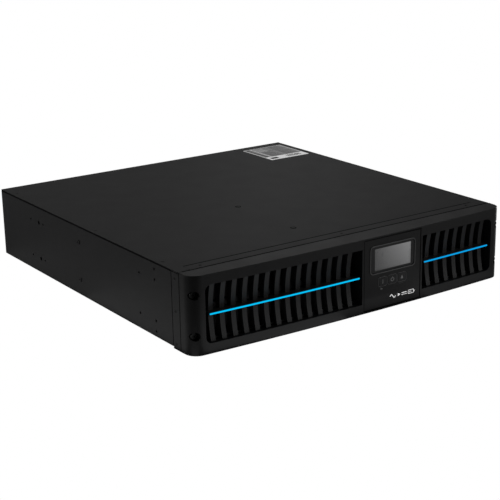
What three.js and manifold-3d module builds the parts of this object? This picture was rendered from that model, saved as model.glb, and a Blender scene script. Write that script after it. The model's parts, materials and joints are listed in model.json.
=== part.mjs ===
// A 2U rack or tower uninterruptible power supply: a steel case with batteries and power electronics inside,
// a bowed plastic bezel with two curved-fin grilles and lit strips, and a pull-out control module with a
// display and buttons. Millimetres, +Z up, front towards -Y. The origin is under the middle of the whole
// object, at the feet's soles.
import * as THREE from "three";
import { mergeVertices } from "three/addons/utils/BufferGeometryUtils.js";
import Module from "manifold-3d";

const wasm = await Module();
wasm.setup();

// ---------------------------------------------------------------- driving dimensions
const WIDTH = 438; // the body that passes between 19-inch rack posts
const TOP = 88; // two rack units, less the usual clearance
const LENGTH = 466; // bezel front to the rearmost fitting
const CASE_DEPTH = 430;
const BEZEL_DEPTH = 27.4; // at the middle of its bow
const BEZEL_BOW = 5.3; // how far the bezel's front falls back at its ends
const BEZEL_CORNER = 14.3;
const BEZEL_WALL = 3;
const FRONT_BOTTOM = 1; // underside of the bezel and the front frame
const CASE_BOTTOM = 3; // underside of the tray, which is also the feet's height
const SHEET = 1.2; // steel thickness
const GAP = 0.3; // clearance between touching pieces
const SEAM = 1.1; // the visible line between two case pieces
const BEZEL_SEAM = 0.9; // and between the bezel and the front frame

const HALF = WIDTH / 2;
const FRONT_Y = -LENGTH / 2;
const SEAM_Y = FRONT_Y + BEZEL_DEPTH; // where the bezel meets the front frame
const REAR_Y = SEAM_Y + CASE_DEPTH;
const FRAME_DEPTH = 14; // the front frame's flanges, seen as a band round the case
const LID_EAR = 15; // width of the lid's two ears, which run forward to the bezel
const TRAY_FRONT_Y = SEAM_Y + FRAME_DEPTH + SEAM;
const MIDDLE_Z = 44.5; // centre line of the bezel, where the lit strips run

// Grilles: each one is a window in the bezel with vertical fins, hollowed towards the middle of their height.
const WINDOW_LOW = MIDDLE_Z - 32;
const WINDOW_HIGH = MIDDLE_Z + 32;
const WINDOW_CORNER = 7;
const COLLAR_DEPTH = 17; // depth of the walls round each window
const COLLAR_WALL = 2.2;
const FIN_WIDTH = 5.9;
const FIN_END_RECESS = 4.2; // fin fronts behind the bezel's front, at the top and bottom
const FIN_MIDDLE_RECESS = 8.6; // and at mid height
const STRIP_HEIGHT = 1.7;
const STRIP_DEPTH = 1.1;
const STRIP_Z = MIDDLE_Z - 0.3;
const GRILLES = {
  left: {
    from: -201.8,
    to: 1.2,
    fins: 14,
    first: -190.7,
    pitch: 13.73,
    strip: [-196.4, -2.2],
    round: [true, false],
  },
  right: {
    from: 90.2,
    to: 201.8,
    fins: 7,
    first: 104.7,
    pitch: 14.4,
    strip: [94, 196.6],
    round: [false, true],
  },
};

// Control module: nearly square, as tall as the bezel allows.
const MODULE = { from: 4.2, to: 87.2, low: 3.4, high: 85.8, depth: 19, wall: 2.2 };
const POCKET_CLEARANCE = 0.6;
const POCKET_BACK = 1.6;
const MODULE_FACE_Y = FRONT_Y + 0.8;
const DISPLAY = { x: 45.7, z: 60.7, width: 66, height: 33, corner: 4.5, rim: 1.3, proud: 0.4 };
const LENS_DEPTH = 1.5;
const LCD = { width: 58, height: 28, depth: 4 };
const BUTTON = { width: 11, height: 9.4, z: 33.9, depth: 4.4, flange: 1, clearance: 0.35, corner: 1.6 };
const BUTTON_X = { button_on: 31.4, button_off: 45.4, button_select: 59.6 };

const BATTERY = { length: 151, height: 94, width: 65 }; // a 12 V 9 Ah block, laid on its side
const PARTITION_X = -8;
const BOARD_Z = 12;

const REAR_PANEL_HIGH = TOP - SHEET - GAP;
const FAN = { size: 80, depth: 25, bore: 76, hub: 34, z: 45.6 };
const FAN_X = { fan_right: 167, fan_left: 81 };

// ---------------------------------------------------------------- geometry helpers
const round = (value) => Math.round(value * 1000) / 1000;

function toSolid(geometry) {
  const bare = geometry.index ? geometry.toNonIndexed() : geometry.clone();
  for (const name of Object.keys(bare.attributes)) {
    if (name !== "position") bare.deleteAttribute(name);
  }
  const merged = mergeVertices(bare, 1e-4);
  return new wasm.Manifold(
    new wasm.Mesh({
      numProp: 3,
      vertProperties: new Float32Array(merged.attributes.position.array),
      triVerts: new Uint32Array(merged.index.array),
    }),
  );
}

function toGeometry(solid) {
  const mesh = solid.getMesh();
  const positions = new Float32Array(mesh.numVert * 3);
  for (let i = 0; i < mesh.numVert; i++) {
    positions.set(mesh.vertProperties.subarray(i * mesh.numProp, i * mesh.numProp + 3), i * 3);
  }
  const geometry = new THREE.BufferGeometry();
  geometry.setAttribute("position", new THREE.BufferAttribute(positions, 3));
  geometry.setIndex(new THREE.BufferAttribute(new Uint32Array(mesh.triVerts), 1));
  return geometry;
}

const join = (geometries) => toGeometry(geometries.map(toSolid).reduce((a, b) => a.add(b)));

function cut(geometry, tools) {
  if (!tools.length) return geometry;
  return toGeometry(tools.map(toSolid).reduce((solid, tool) => solid.subtract(tool), toSolid(geometry)));
}

// A box between two corners.
function block([x0, y0, z0], [x1, y1, z1]) {
  const geometry = new THREE.BoxGeometry(x1 - x0, y1 - y0, z1 - z0);
  return geometry.translate((x0 + x1) / 2, (y0 + y1) / 2, (z0 + z1) / 2);
}

function polygon(points) {
  return new THREE.Shape(points.map(([a, b]) => new THREE.Vector2(a, b)));
}

const extrusion = (shape, depth, curveSegments) =>
  new THREE.ExtrudeGeometry(shape, { depth, bevelEnabled: false, curveSegments });

// A plan outline (x, y) raised from z0 to z1.
const raise = (shape, z0, z1, segments = 6) => extrusion(shape, z1 - z0, segments).translate(0, 0, z0);

// A front-view outline (x, z) run from y0 back to y1.
const runBack = (shape, y0, y1, segments = 6) =>
  extrusion(shape, y1 - y0, segments).rotateX(Math.PI / 2).translate(0, y1, 0);

// A side-view outline (y, z) run from x0 to x1.
function runAcross(shape, x0, x1, segments = 6) {
  const turn = new THREE.Matrix4().makeBasis(
    new THREE.Vector3(0, 1, 0),
    new THREE.Vector3(0, 0, 1),
    new THREE.Vector3(1, 0, 0),
  );
  return extrusion(shape, x1 - x0, segments).applyMatrix4(turn).translate(x0, 0, 0);
}

// A cylinder along "x", "y" or "z", centred on a point.
function rod(axis, radius, length, [x, y, z], sides = 16, radiusTop = radius) {
  const geometry = new THREE.CylinderGeometry(radiusTop, radius, length, sides);
  if (axis === "x") geometry.rotateZ(-Math.PI / 2);
  if (axis === "z") geometry.rotateX(Math.PI / 2);
  return geometry.translate(x, y, z);
}

// A rectangle with its own radius on each corner, in the order low left, low right, high right, high left.
function roundedRectangle(x0, z0, x1, z1, radii) {
  const [a, b, c, d] = Array.isArray(radii) ? radii : [radii, radii, radii, radii];
  const shape = new THREE.Shape();
  shape.moveTo(x0 + a, z0);
  shape.lineTo(x1 - b, z0);
  if (b) shape.absarc(x1 - b, z0 + b, b, -Math.PI / 2, 0);
  shape.lineTo(x1, z1 - c);
  if (c) shape.absarc(x1 - c, z1 - c, c, 0, Math.PI / 2);
  shape.lineTo(x0 + d, z1);
  if (d) shape.absarc(x0 + d, z1 - d, d, Math.PI / 2, Math.PI);
  shape.lineTo(x0, z0 + a);
  if (a) shape.absarc(x0 + a, z0 + a, a, Math.PI, Math.PI * 1.5);
  return shape;
}

const centredRectangle = (x, z, width, height, radii) =>
  roundedRectangle(x - width / 2, z - height / 2, x + width / 2, z + height / 2, radii);

// The bezel's front is a shallow parabola in plan.
const bow = (x) => FRONT_Y + BEZEL_BOW * (x / HALF) ** 2;

// A slab between two depths behind the bowed front, from x0 to x1.
function bowedSlab(x0, x1, near, far, z0, z1, steps = 12) {
  const xs = Array.from({ length: steps + 1 }, (_, i) => x0 + ((x1 - x0) * i) / steps);
  const front = xs.map((x) => [x, bow(x) + near]);
  const back = xs.map((x) => [x, bow(x) + far]).reverse();
  return raise(polygon([...front, ...back]), z0, z1);
}

// ---------------------------------------------------------------- materials
const material = (color, roughness, metalness = 0, extra = {}) =>
  new THREE.MeshStandardMaterial({ color, roughness, metalness, ...extra });

const FINISH = {
  blackSteel: material(0x1d1d1e, 0.55, 0.3),
  bareSteel: material(0x9fa3a6, 0.4, 0.9),
  bezelPlastic: material(0x161617, 0.5),
  grillePlastic: material(0x1b1b1c, 0.55),
  litStrip: material(0x11b4f2, 0.35, 0, { emissive: 0x0a86d8 }),
  lens: material(0x0a0a0b, 0.1, 0, { transparent: true, opacity: 0.4 }),
  lcd: material(0x5f6163, 0.35),
  keyPlastic: material(0x19191a, 0.5),
  circuitBoard: material(0x1f5a36, 0.6),
  batteryPlastic: material(0x3a3c40, 0.7),
  aluminium: material(0xb6b9bc, 0.45, 0.9),
  copper: material(0xb87333, 0.4, 0.8),
  ferrite: material(0x2c2c2e, 0.8),
  capacitorSleeve: material(0x1c2a4a, 0.45),
  fanPlastic: material(0x121213, 0.6),
  socketPlastic: material(0x0f0f10, 0.6),
  greenPlastic: material(0x1f8a4c, 0.5),
  rubber: material(0x101010, 0.9),
  label: material(0x8f9295, 0.6),
};

const ups = new THREE.Group();
const bodies = {};

function add(name, geometry, finish, group = ups) {
  const mesh = new THREE.Mesh(geometry, finish);
  mesh.name = name;
  group.add(mesh);
  return mesh;
}

function bodyGroup(name) {
  bodies[name] = new THREE.Group();
  ups.add(bodies[name]);
  return bodies[name];
}

// ---------------------------------------------------------------- steel case
// Threaded holes in each side: rack ears at the front, slide rails at the back, case screws between them.
const SIDE_HOLES = [
  { back: 346.4, heights: [67.3, 21.4], radius: 1.5 },
  { back: 324.6, heights: [67.3, 21.4], radius: 2.5 },
  { back: 313.2, heights: [67.3, 21.4], radius: 1.5 },
  { back: 220.5, heights: [67.3, 21.4], radius: 1.8 },
  { back: 81.6, heights: [66.8, 20.9], radius: 2 },
  { back: 48.4, heights: [79.3, 67.7, 21.1, 9], radius: 2 },
];
const HOLE_SIDES = 8;

function sideHoles() {
  return SIDE_HOLES.flatMap(({ back, heights, radius }) =>
    heights.map((z) => rod("x", radius, WIDTH + 10, [0, SEAM_Y + back, z], HOLE_SIDES)),
  );
}

// The floor and both side walls, folded from one sheet.
function chassisTray() {
  const wallTop = TOP - SHEET - SEAM;
  const inner = HALF - SHEET;
  const profile = polygon([
    [-HALF, CASE_BOTTOM],
    [HALF, CASE_BOTTOM],
    [HALF, wallTop],
    [inner, wallTop],
    [inner, CASE_BOTTOM + SHEET],
    [-inner, CASE_BOTTOM + SHEET],
    [-inner, wallTop],
    [-HALF, wallTop],
  ]);
  return cut(runBack(profile, TRAY_FRONT_Y, REAR_Y), sideHoles());
}

// The lid, with a flange inside each wall and an ear at each front corner.
function topCover() {
  const flange = 10;
  const outer = HALF - SHEET - 0.7;
  const inner = outer - SHEET;
  const under = TOP - SHEET;
  const profile = polygon([
    [-HALF, under],
    [-outer, under],
    [-outer, under - flange],
    [-inner, under - flange],
    [-inner, under],
    [inner, under],
    [inner, under - flange],
    [outer, under - flange],
    [outer, under],
    [HALF, under],
    [HALF, TOP],
    [-HALF, TOP],
  ]);
  const ears = [-1, 1].map((side) => {
    const edges = [side * HALF, side * (HALF - LID_EAR)].sort((a, b) => a - b);
    return block([edges[0], SEAM_Y, under], [edges[1], TRAY_FRONT_Y + 2, TOP]);
  });
  return join([runBack(profile, TRAY_FRONT_Y, REAR_Y), ...ears]);
}

// The pan behind the bezel. Its flanges show as a band between the bezel and the case.
function frontFrame() {
  const pan = block([-HALF, SEAM_Y, FRONT_BOTTOM], [HALF, SEAM_Y + FRAME_DEPTH, TOP]);
  const hollow = block(
    [-HALF + SHEET, SEAM_Y + 1.5, FRONT_BOTTOM + SHEET],
    [HALF - SHEET, SEAM_Y + FRAME_DEPTH + 1, TOP - SHEET],
  );
  const batteryDoorway = block([-196, SEAM_Y - 1, 14], [-14, SEAM_Y + 2, 75]);
  const airSlots = [16, 48].flatMap((z) =>
    Array.from({ length: 10 }, (_, i) => 100 + i * 10).map((x) =>
      block([x, SEAM_Y - 1, z], [x + 5, SEAM_Y + 2, z + 25]),
    ),
  );
  const cableHole = block([34, SEAM_Y - 1, 34], [58, SEAM_Y + 2, 54]);
  const earNotches = [-1, 1].map((side) => {
    const edges = [side * (HALF + 1), side * (HALF - LID_EAR - GAP)].sort((a, b) => a - b);
    const back = SEAM_Y + FRAME_DEPTH + 1;
    return block([edges[0], SEAM_Y - 1, TOP - SHEET - SEAM], [edges[1], back, TOP + 1]);
  });
  return cut(pan, [hollow, batteryDoorway, ...airSlots, cableHole, ...earNotches]);
}

// Where things pass through the rear panel: [x0, z0, x1, z1].
const OUTLET_BANK = { x0: -208, x1: -84, height: 27, outlets: 4, depth: 22, flange: 2.4 };
const BANK_LOW = { outlet_bank_lower: 12.5, outlet_bank_upper: 49.5 };
const INLET = { x: -62, z: 62, width: 28, height: 33 };
const BREAKER = { x: -62, z: 26, radius: 6 };
const SLOT = { x0: -39, x1: 29, z0: 46, z1: 83 };
const SERIAL = { x: -22, z: 26 };
const USB = { x: 4, z: 32.5 };
const NETWORK = { x0: -5, x1: 34, z0: 7, z1: 23 };
const EPO = { x: 24, z: 33 };

function rearPanel() {
  const y0 = REAR_Y - SHEET;
  const through = ([x0, z0, x1, z1]) => block([x0, y0 - 1, z0], [x1, REAR_Y + 1, z1]);
  const inner = HALF - SHEET - GAP;
  const panel = block([-inner, y0, CASE_BOTTOM + SHEET + GAP], [inner, REAR_Y, REAR_PANEL_HIGH]);
  // The lid's flanges run back to the panel's own corners.
  const notches = [-1, 1].map((side) =>
    block(
      [side * (HALF - 2) - 2.4, y0 - 1, TOP - SHEET - 10 - GAP],
      [side * (HALF - 2) + 2.4, REAR_Y + 1, TOP],
    ),
  );
  const bankHoles = Object.values(BANK_LOW).map((low) =>
    through([OUTLET_BANK.x0 + 2, low + 2, OUTLET_BANK.x1 - 2, low + OUTLET_BANK.height - 2]),
  );
  const fanHoles = Object.values(FAN_X).map((x) => rod("y", FAN.bore / 2 - 1, 6, [x, REAR_Y, FAN.z], 32));
  return cut(panel, [
    ...notches,
    ...bankHoles,
    ...fanHoles,
    through([INLET.x - 12.6, INLET.z - 8.6, INLET.x + 12.6, INLET.z + 8.6]),
    rod("y", BREAKER.radius, 6, [BREAKER.x, REAR_Y, BREAKER.z], 20),
    through([SLOT.x0 + 3, SLOT.z0 + 3, SLOT.x1 - 3, SLOT.z1 - 3]),
    through([SERIAL.x - 9, SERIAL.z - 4.6, SERIAL.x + 9, SERIAL.z + 4.6]),
    through([USB.x - 6.3, USB.z - 5.8, USB.x + 6.3, USB.z + 5.8]),
    through([NETWORK.x0, NETWORK.z0, NETWORK.x1, NETWORK.z1]),
    through([EPO.x - 6, EPO.z - 4.4, EPO.x + 6, EPO.z + 4.4]),
  ]);
}

function foot(x, y) {
  const profile = [
    [0, 0],
    [8, 0],
    [9, 1],
    [9.5, CASE_BOTTOM],
    [0, CASE_BOTTOM],
  ].map(([r, z]) => new THREE.Vector2(r, z));
  return new THREE.LatheGeometry(profile, 16).rotateX(Math.PI / 2).translate(x, y, 0);
}

// ---------------------------------------------------------------- bezel
// The bezel's outline in plan, drawn in by an inset, with its back at y = back.
function bezelOutline(inset, back) {
  const half = HALF - inset;
  const radius = BEZEL_CORNER - inset;
  const flat = half - radius;
  const cornerY = bow(HALF - BEZEL_CORNER) + inset + radius;
  const shape = new THREE.Shape();
  shape.moveTo(-half, back);
  shape.lineTo(-half, cornerY);
  shape.absarc(-flat, cornerY, radius, Math.PI, Math.PI * 1.5);
  const steps = 14;
  for (let i = 1; i < steps; i++) {
    const x = -flat + (2 * flat * i) / steps;
    shape.lineTo(x, bow(x) + inset);
  }
  shape.absarc(flat, cornerY, radius, Math.PI * 1.5, Math.PI * 2);
  shape.lineTo(half, back);
  return shape;
}

const windowRadii = ({ round: [left, right] }, radius) =>
  [left, right, right, left].map((on) => (on ? radius : 0));

function windowShape(grille, grow) {
  const radii = windowRadii(grille, WINDOW_CORNER + grow);
  const [from, to] = [grille.from - grow, grille.to + grow];
  return roundedRectangle(from, WINDOW_LOW - grow, to, WINDOW_HIGH + grow, radii);
}

// Screw wells in the rounded corners, one rack unit apart.
const SCREW_WELL = { x: 213, spacing: 44.45, radius: 4.8, depth: 8 };
const screwPlaces = [-1, 1].flatMap((side) =>
  [-1, 1].map((level) => [side * SCREW_WELL.x, MIDDLE_Z + (level * SCREW_WELL.spacing) / 2]),
);
const WELL_FLOOR_Y = FRONT_Y + BEZEL_BOW + SCREW_WELL.depth;

function frontBezel() {
  const back = SEAM_Y - BEZEL_SEAM;
  const z0 = FRONT_BOTTOM;
  const shell = cut(raise(bezelOutline(0, back), z0, TOP, 6), [
    raise(bezelOutline(BEZEL_WALL, back + 5), z0 + BEZEL_WALL, TOP - BEZEL_WALL, 6),
  ]);
  const inside = bezelOutline(0.6, back - 0.5);
  const clipped = (geometry) => toGeometry(toSolid(geometry).intersect(toSolid(raise(inside, z0, TOP, 6))));
  const collars = Object.values(GRILLES).map((grille) =>
    clipped(runBack(windowShape(grille, COLLAR_WALL), FRONT_Y - 1, FRONT_Y + COLLAR_DEPTH + 3, 4)),
  );
  const pocketBack = MODULE_FACE_Y + MODULE.depth + POCKET_CLEARANCE;
  const pocketWalls = clipped(
    block([MODULE.from - 3, FRONT_Y - 1, z0], [MODULE.to + 3, pocketBack + POCKET_BACK, TOP]),
  );
  const bosses = screwPlaces.map(([x, z]) =>
    clipped(rod("y", SCREW_WELL.radius + 1.8, BEZEL_DEPTH, [x, FRONT_Y + BEZEL_DEPTH / 2, z], 12)),
  );
  const solid = join([shell, ...collars, pocketWalls, ...bosses]);
  const windows = Object.values(GRILLES).map((grille) =>
    runBack(windowShape(grille, 0), FRONT_Y - 5, FRONT_Y + COLLAR_DEPTH + 8, 4),
  );
  const pocket = block(
    [MODULE.from - POCKET_CLEARANCE, FRONT_Y - 5, MODULE.low - POCKET_CLEARANCE],
    [MODULE.to + POCKET_CLEARANCE, pocketBack, MODULE.high + POCKET_CLEARANCE],
  );
  const cableHole = block([36, FRONT_Y, 36], [56, SEAM_Y + 1, 52]);
  const wells = screwPlaces.map(([x, z]) =>
    rod("y", SCREW_WELL.radius, 60, [x, WELL_FLOOR_Y - 30, z], 16),
  );
  const shanks = screwPlaces.map(([x, z]) => rod("y", 2.3, 40, [x, WELL_FLOOR_Y, z], 8));
  return cut(solid, [...windows, pocket, cableHole, ...wells, ...shanks]);
}

// A pan-head screw at the bottom of its well, threaded into the front frame.
function bezelScrew([x, z]) {
  const head = rod("y", 3.7, 2.6, [x, WELL_FLOOR_Y - GAP - 1.3, z], 16);
  const shank = rod("y", 1.95, SEAM_Y - WELL_FLOOR_Y, [x, (SEAM_Y + WELL_FLOOR_Y) / 2 - GAP - 0.1, z], 8);
  const recess = [0, Math.PI / 2].map((turn) =>
    new THREE.BoxGeometry(3.8, 1.6, 0.8).rotateY(turn).translate(x, WELL_FLOOR_Y - GAP - 2.4, z),
  );
  return cut(join([head, shank]), recess);
}

// Depth of a fin's front edge behind the bezel's front, at height z: a shallow arc, deepest half way up.
function finRecess(z) {
  const offCentre = (z - MIDDLE_Z) / (WINDOW_HIGH - MIDDLE_Z);
  return FIN_MIDDLE_RECESS + (FIN_END_RECESS - FIN_MIDDLE_RECESS) * offCentre ** 2;
}

function fin(x) {
  const steps = 8;
  const low = WINDOW_LOW + GAP;
  const high = WINDOW_HIGH - GAP;
  const y = bow(x);
  const edge = Array.from({ length: steps + 1 }, (_, i) => {
    const z = low + ((high - low) * i) / steps;
    return [y + finRecess(z), z];
  });
  const back = y + COLLAR_DEPTH - 1;
  const outline = polygon([...edge, [back, high], [back, low]]);
  return runAcross(outline, x - FIN_WIDTH / 2, x + FIN_WIDTH / 2);
}

// Fins, the rails that tie their ends, and the bar that carries the lit strip.
function grille({ from, to, fins, first, pitch, strip, round: [roundLeft, roundRight] }) {
  const x0 = from + (roundLeft ? WINDOW_CORNER : GAP);
  const x1 = to - (roundRight ? WINDOW_CORNER : GAP);
  const railBack = COLLAR_DEPTH - 1.6;
  const all = Array.from({ length: fins }, (_, i) => fin(first + pitch * i));
  const rails = [
    bowedSlab(x0, x1, railBack - 6, railBack, WINDOW_LOW + 0.8, WINDOW_LOW + 2.6),
    bowedSlab(x0, x1, railBack - 6, railBack, WINDOW_HIGH - 2.6, WINDOW_HIGH - 0.8),
  ];
  const barHalf = STRIP_HEIGHT / 2 + 0.5;
  const [barFrom, barTo] = [strip[0] - 0.6, strip[1] + 0.6];
  const bar = bowedSlab(barFrom, barTo, STRIP_DEPTH + 0.4, railBack, STRIP_Z - barHalf, STRIP_Z + barHalf);
  return join([...all, ...rails, bar]);
}

const litStrip = ({ strip: [x0, x1] }) =>
  bowedSlab(x0, x1, 0.2, STRIP_DEPTH + 0.1, STRIP_Z - STRIP_HEIGHT / 2, STRIP_Z + STRIP_HEIGHT / 2);

// ---------------------------------------------------------------- control module
function moduleHousing() {
  const face = MODULE_FACE_Y;
  const { from, to, low, high, depth, wall } = MODULE;
  const shell = cut(block([from, face, low], [to, face + depth, high]), [
    block([from + wall, face + wall, low + wall], [to - wall, face + depth + 1, high - wall]),
  ]);
  const rimOutline = centredRectangle(DISPLAY.x, DISPLAY.z, DISPLAY.width, DISPLAY.height, DISPLAY.corner);
  const rim = runBack(rimOutline, face - DISPLAY.proud, face + 1);
  const lensWindow = centredRectangle(
    DISPLAY.x,
    DISPLAY.z,
    DISPLAY.width - 2 * DISPLAY.rim,
    DISPLAY.height - 2 * DISPLAY.rim,
    DISPLAY.corner - DISPLAY.rim,
  );
  const buttonHoles = Object.values(BUTTON_X).map((x) =>
    runBack(
      centredRectangle(
        x,
        BUTTON.z,
        BUTTON.width + 2 * BUTTON.clearance,
        BUTTON.height + 2 * BUTTON.clearance,
        BUTTON.corner,
      ),
      face - 1,
      face + wall + 1,
      3,
    ),
  );
  return cut(join([shell, rim]), [runBack(lensWindow, face - 2, face + wall + 1), ...buttonHoles]);
}

function displayLens() {
  const inset = 2 * DISPLAY.rim + 2 * GAP;
  const [width, height] = [DISPLAY.width - inset, DISPLAY.height - inset];
  const shape = centredRectangle(DISPLAY.x, DISPLAY.z, width, height, DISPLAY.corner - DISPLAY.rim - GAP);
  return runBack(shape, MODULE_FACE_Y + 0.2, MODULE_FACE_Y + 0.2 + LENS_DEPTH);
}

const LCD_Y = MODULE_FACE_Y + MODULE.wall + 0.5;

const lcdPanel = () =>
  block(
    [DISPLAY.x - LCD.width / 2, LCD_Y, DISPLAY.z - LCD.height / 2],
    [DISPLAY.x + LCD.width / 2, LCD_Y + LCD.depth, DISPLAY.z + LCD.height / 2],
  );

// A key cap with a flange behind the face that stops it falling out.
function button(x) {
  const front = MODULE_FACE_Y - 0.3;
  const flangeY = MODULE_FACE_Y + MODULE.wall + GAP;
  const cap = runBack(
    centredRectangle(x, BUTTON.z, BUTTON.width, BUTTON.height, BUTTON.corner - 0.3),
    front,
    flangeY + 0.5,
    3,
  );
  const flange = block(
    [x - BUTTON.width / 2 - BUTTON.flange, flangeY, BUTTON.z - BUTTON.height / 2 - BUTTON.flange],
    [x + BUTTON.width / 2 + BUTTON.flange, flangeY + 1, BUTTON.z + BUTTON.height / 2 + BUTTON.flange],
  );
  return join([cap, flange]);
}

const DISPLAY_BOARD_Y = LCD_Y + LCD.depth + GAP;

// The display's circuit board, with a tactile switch behind each key.
function displayBoard() {
  const { from, to, low, high, wall } = MODULE;
  const inset = wall + 1;
  const board = block(
    [from + inset, DISPLAY_BOARD_Y, low + inset],
    [to - inset, DISPLAY_BOARD_Y + 1.6, high - inset],
  );
  const switches = Object.values(BUTTON_X).map((x) =>
    block([x - 3, DISPLAY_BOARD_Y - 1.8, BUTTON.z - 3], [x + 3, DISPLAY_BOARD_Y + 0.5, BUTTON.z + 3]),
  );
  return join([board, ...switches]);
}

function moduleBack() {
  const { from, to, low, high, wall, depth } = MODULE;
  const inset = wall + GAP;
  const y = MODULE_FACE_Y + depth;
  const plate = block([from + inset, y - 1.8, low + inset], [to - inset, y, high - inset]);
  const socket = block([38, y - 1, 38], [54, y + 0.2, 50]);
  return cut(join([plate, socket]), [block([40, y - 3, 41], [52, y + 1, 47])]);
}

// ---------------------------------------------------------------- batteries
const ROW_FRONT_Y = SEAM_Y + 20;
const ROW_PITCH = BATTERY.length + 2;
const BATTERY_LOW = CASE_BOTTOM + SHEET + GAP + 1.2 + GAP;

// A sealed block. Its lid and two blade terminals are on the side given by "towards", next to the wiring
// channel.
function battery(capX, y, towards) {
  const bodyX = capX - towards * BATTERY.height;
  const lidLine = capX - towards * 12;
  const span = (a, b) => [Math.min(a, b), Math.max(a, b)];
  const box = (xa, xb, y0, y1, z0, z1) => {
    const [x0, x1] = span(xa, xb);
    return block([x0, y0, z0], [x1, y1, z1]);
  };
  const high = BATTERY_LOW + BATTERY.width;
  const pieces = [
    box(bodyX, lidLine, y + 0.6, y + BATTERY.length - 0.6, BATTERY_LOW + 0.6, high - 0.6),
    box(lidLine - towards * 0.5, capX - towards * 2, y, y + BATTERY.length, BATTERY_LOW, high),
    box(capX - towards * 3, capX, y + 14, y + BATTERY.length - 14, BATTERY_LOW + 8, high - 8),
  ];
  for (const along of [8, BATTERY.length - 8]) {
    const [from, to] = [y + along - 0.4, y + along + 0.4];
    pieces.push(box(capX - towards * 3, capX + towards * 4, from, to, high - 16, high - 9.7));
  }
  return join(pieces);
}

const CHANNEL = { left: -118.5, right: -105 }; // the wiring channel between the two columns of batteries
const BATTERY_PLACES = {
  battery_front_left: [CHANNEL.left, 0, 1],
  battery_rear_left: [CHANNEL.left, 1, 1],
  battery_front_right: [CHANNEL.right, 0, -1],
  battery_rear_right: [CHANNEL.right, 1, -1],
};

function batteryTray() {
  const y0 = ROW_FRONT_Y - 3;
  const y1 = ROW_FRONT_Y + 2 * ROW_PITCH + 2;
  const [x0, x1] = [CHANNEL.left - BATTERY.height - 2, CHANNEL.right + BATTERY.height + 2];
  const low = CASE_BOTTOM + SHEET + GAP;
  const wall = 1.2;
  const tray = cut(block([x0, y0, low], [x1, y1, low + 30]), [
    block([x0 + wall, y0 + wall, low + wall], [x1 - wall, y1 - wall, low + 31]),
  ]);
  const pull = block([-128, y0 - 0.1 - wall, low + 8], [-96, y0 + wall / 2, low + 22]);
  const slot = block([-122, y0 - 3, low + 11], [-102, y0 + 3, low + 19]);
  return cut(join([tray, pull]), [slot]);
}

// The door over the battery doorway, with louvre slots and a thumb screw at each end.
function batteryDoor() {
  const y = SEAM_Y - GAP - SHEET;
  const [x0, x1] = [-203, -6];
  const plate = block([x0, y, 8], [x1, y + SHEET, 81]);
  const louvres = [16, 48].flatMap((z) =>
    Array.from({ length: 9 }, (_, i) => x0 + 16 + i * 19).map((x) =>
      block([x, y - 1, z], [x + 13, y + 2, z + 3]),
    ),
  );
  const screws = [x0 + 3.6, x1 - 3.9].map((x) => rod("y", 3.2, 2, [x, y - 0.7, MIDDLE_Z], 12));
  return join([cut(plate, louvres), ...screws]);
}

function partitionWall() {
  const corner = [PARTITION_X, SEAM_Y + FRAME_DEPTH + 2, CASE_BOTTOM + SHEET + GAP];
  const wall = block(corner, [PARTITION_X + SHEET, REAR_Y - 90, 82]);
  const foot = block(corner, [PARTITION_X + 9, REAR_Y - 90, corner[2] + SHEET]);
  return join([wall, foot]);
}

// ---------------------------------------------------------------- power electronics
const BOARD = { x0: 4, x1: 212, y0: SEAM_Y + 30, y1: REAR_Y - 40, thick: 1.6 };

function mainBoard() {
  const plate = block([BOARD.x0, BOARD.y0, BOARD_Z], [BOARD.x1, BOARD.y1, BOARD_Z + BOARD.thick]);
  const standoffs = [BOARD.x0 + 6, (BOARD.x0 + BOARD.x1) / 2, BOARD.x1 - 6].flatMap((x) =>
    [BOARD.y0 + 6, BOARD.y1 - 6].map((y) => {
      const low = CASE_BOTTOM + SHEET + GAP + (x < 15 ? SHEET : 0);
      return rod("z", 3, BOARD_Z - low + 0.5, [x, y, (low + BOARD_Z + 0.5) / 2], 8);
    }),
  );
  return join([plate, ...standoffs]);
}

const ON_BOARD = BOARD_Z + BOARD.thick + GAP;

// A ribbed aluminium extrusion that runs front to back.
function heatsink(x) {
  const ribs = 7;
  const pitch = 5.4;
  const base = 4;
  const points = [[x, ON_BOARD], [x + (ribs - 1) * pitch + 1.6, ON_BOARD]];
  for (let i = ribs - 1; i >= 0; i--) {
    const left = x + i * pitch;
    points.push([left + 1.6, ON_BOARD + 52], [left, ON_BOARD + 52]);
    if (i) points.push([left, ON_BOARD + base], [left - pitch + 1.6, ON_BOARD + base]);
  }
  return runBack(polygon(points), BOARD.y0 + 95, BOARD.y0 + 265);
}

function inductor(x, y) {
  const core = new THREE.TorusGeometry(17, 9.5, 8, 16).translate(x, y, ON_BOARD + 9.6);
  const base = rod("z", 20, 4, [x, y, ON_BOARD + 2], 16);
  return join([core, base]);
}

// A laminated transformer: two limbs of core round a wound bobbin.
function transformer() {
  const [x, y] = [58, BOARD.y0 + 28];
  const core = cut(block([x - 32, y - 14, ON_BOARD], [x + 32, y + 14, ON_BOARD + 52]), [
    block([x - 22, y - 20, ON_BOARD + 10], [x - 9, y + 20, ON_BOARD + 42]),
    block([x + 9, y - 20, ON_BOARD + 10], [x + 22, y + 20, ON_BOARD + 42]),
  ]);
  const winding = cut(block([x - 20, y - 24, ON_BOARD + 12], [x + 20, y + 24, ON_BOARD + 40]), [
    block([x - 9 - GAP, y - 14 - GAP, ON_BOARD], [x + 9 + GAP, y + 14 + GAP, ON_BOARD + 60]),
  ]);
  return { core, winding };
}

const capacitor = (x, y) =>
  join([
    rod("z", 15, 46, [x, y, ON_BOARD + 23], 20),
    rod("z", 13.4, 1.2, [x, y, ON_BOARD + 46.4], 20),
  ]);

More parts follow.
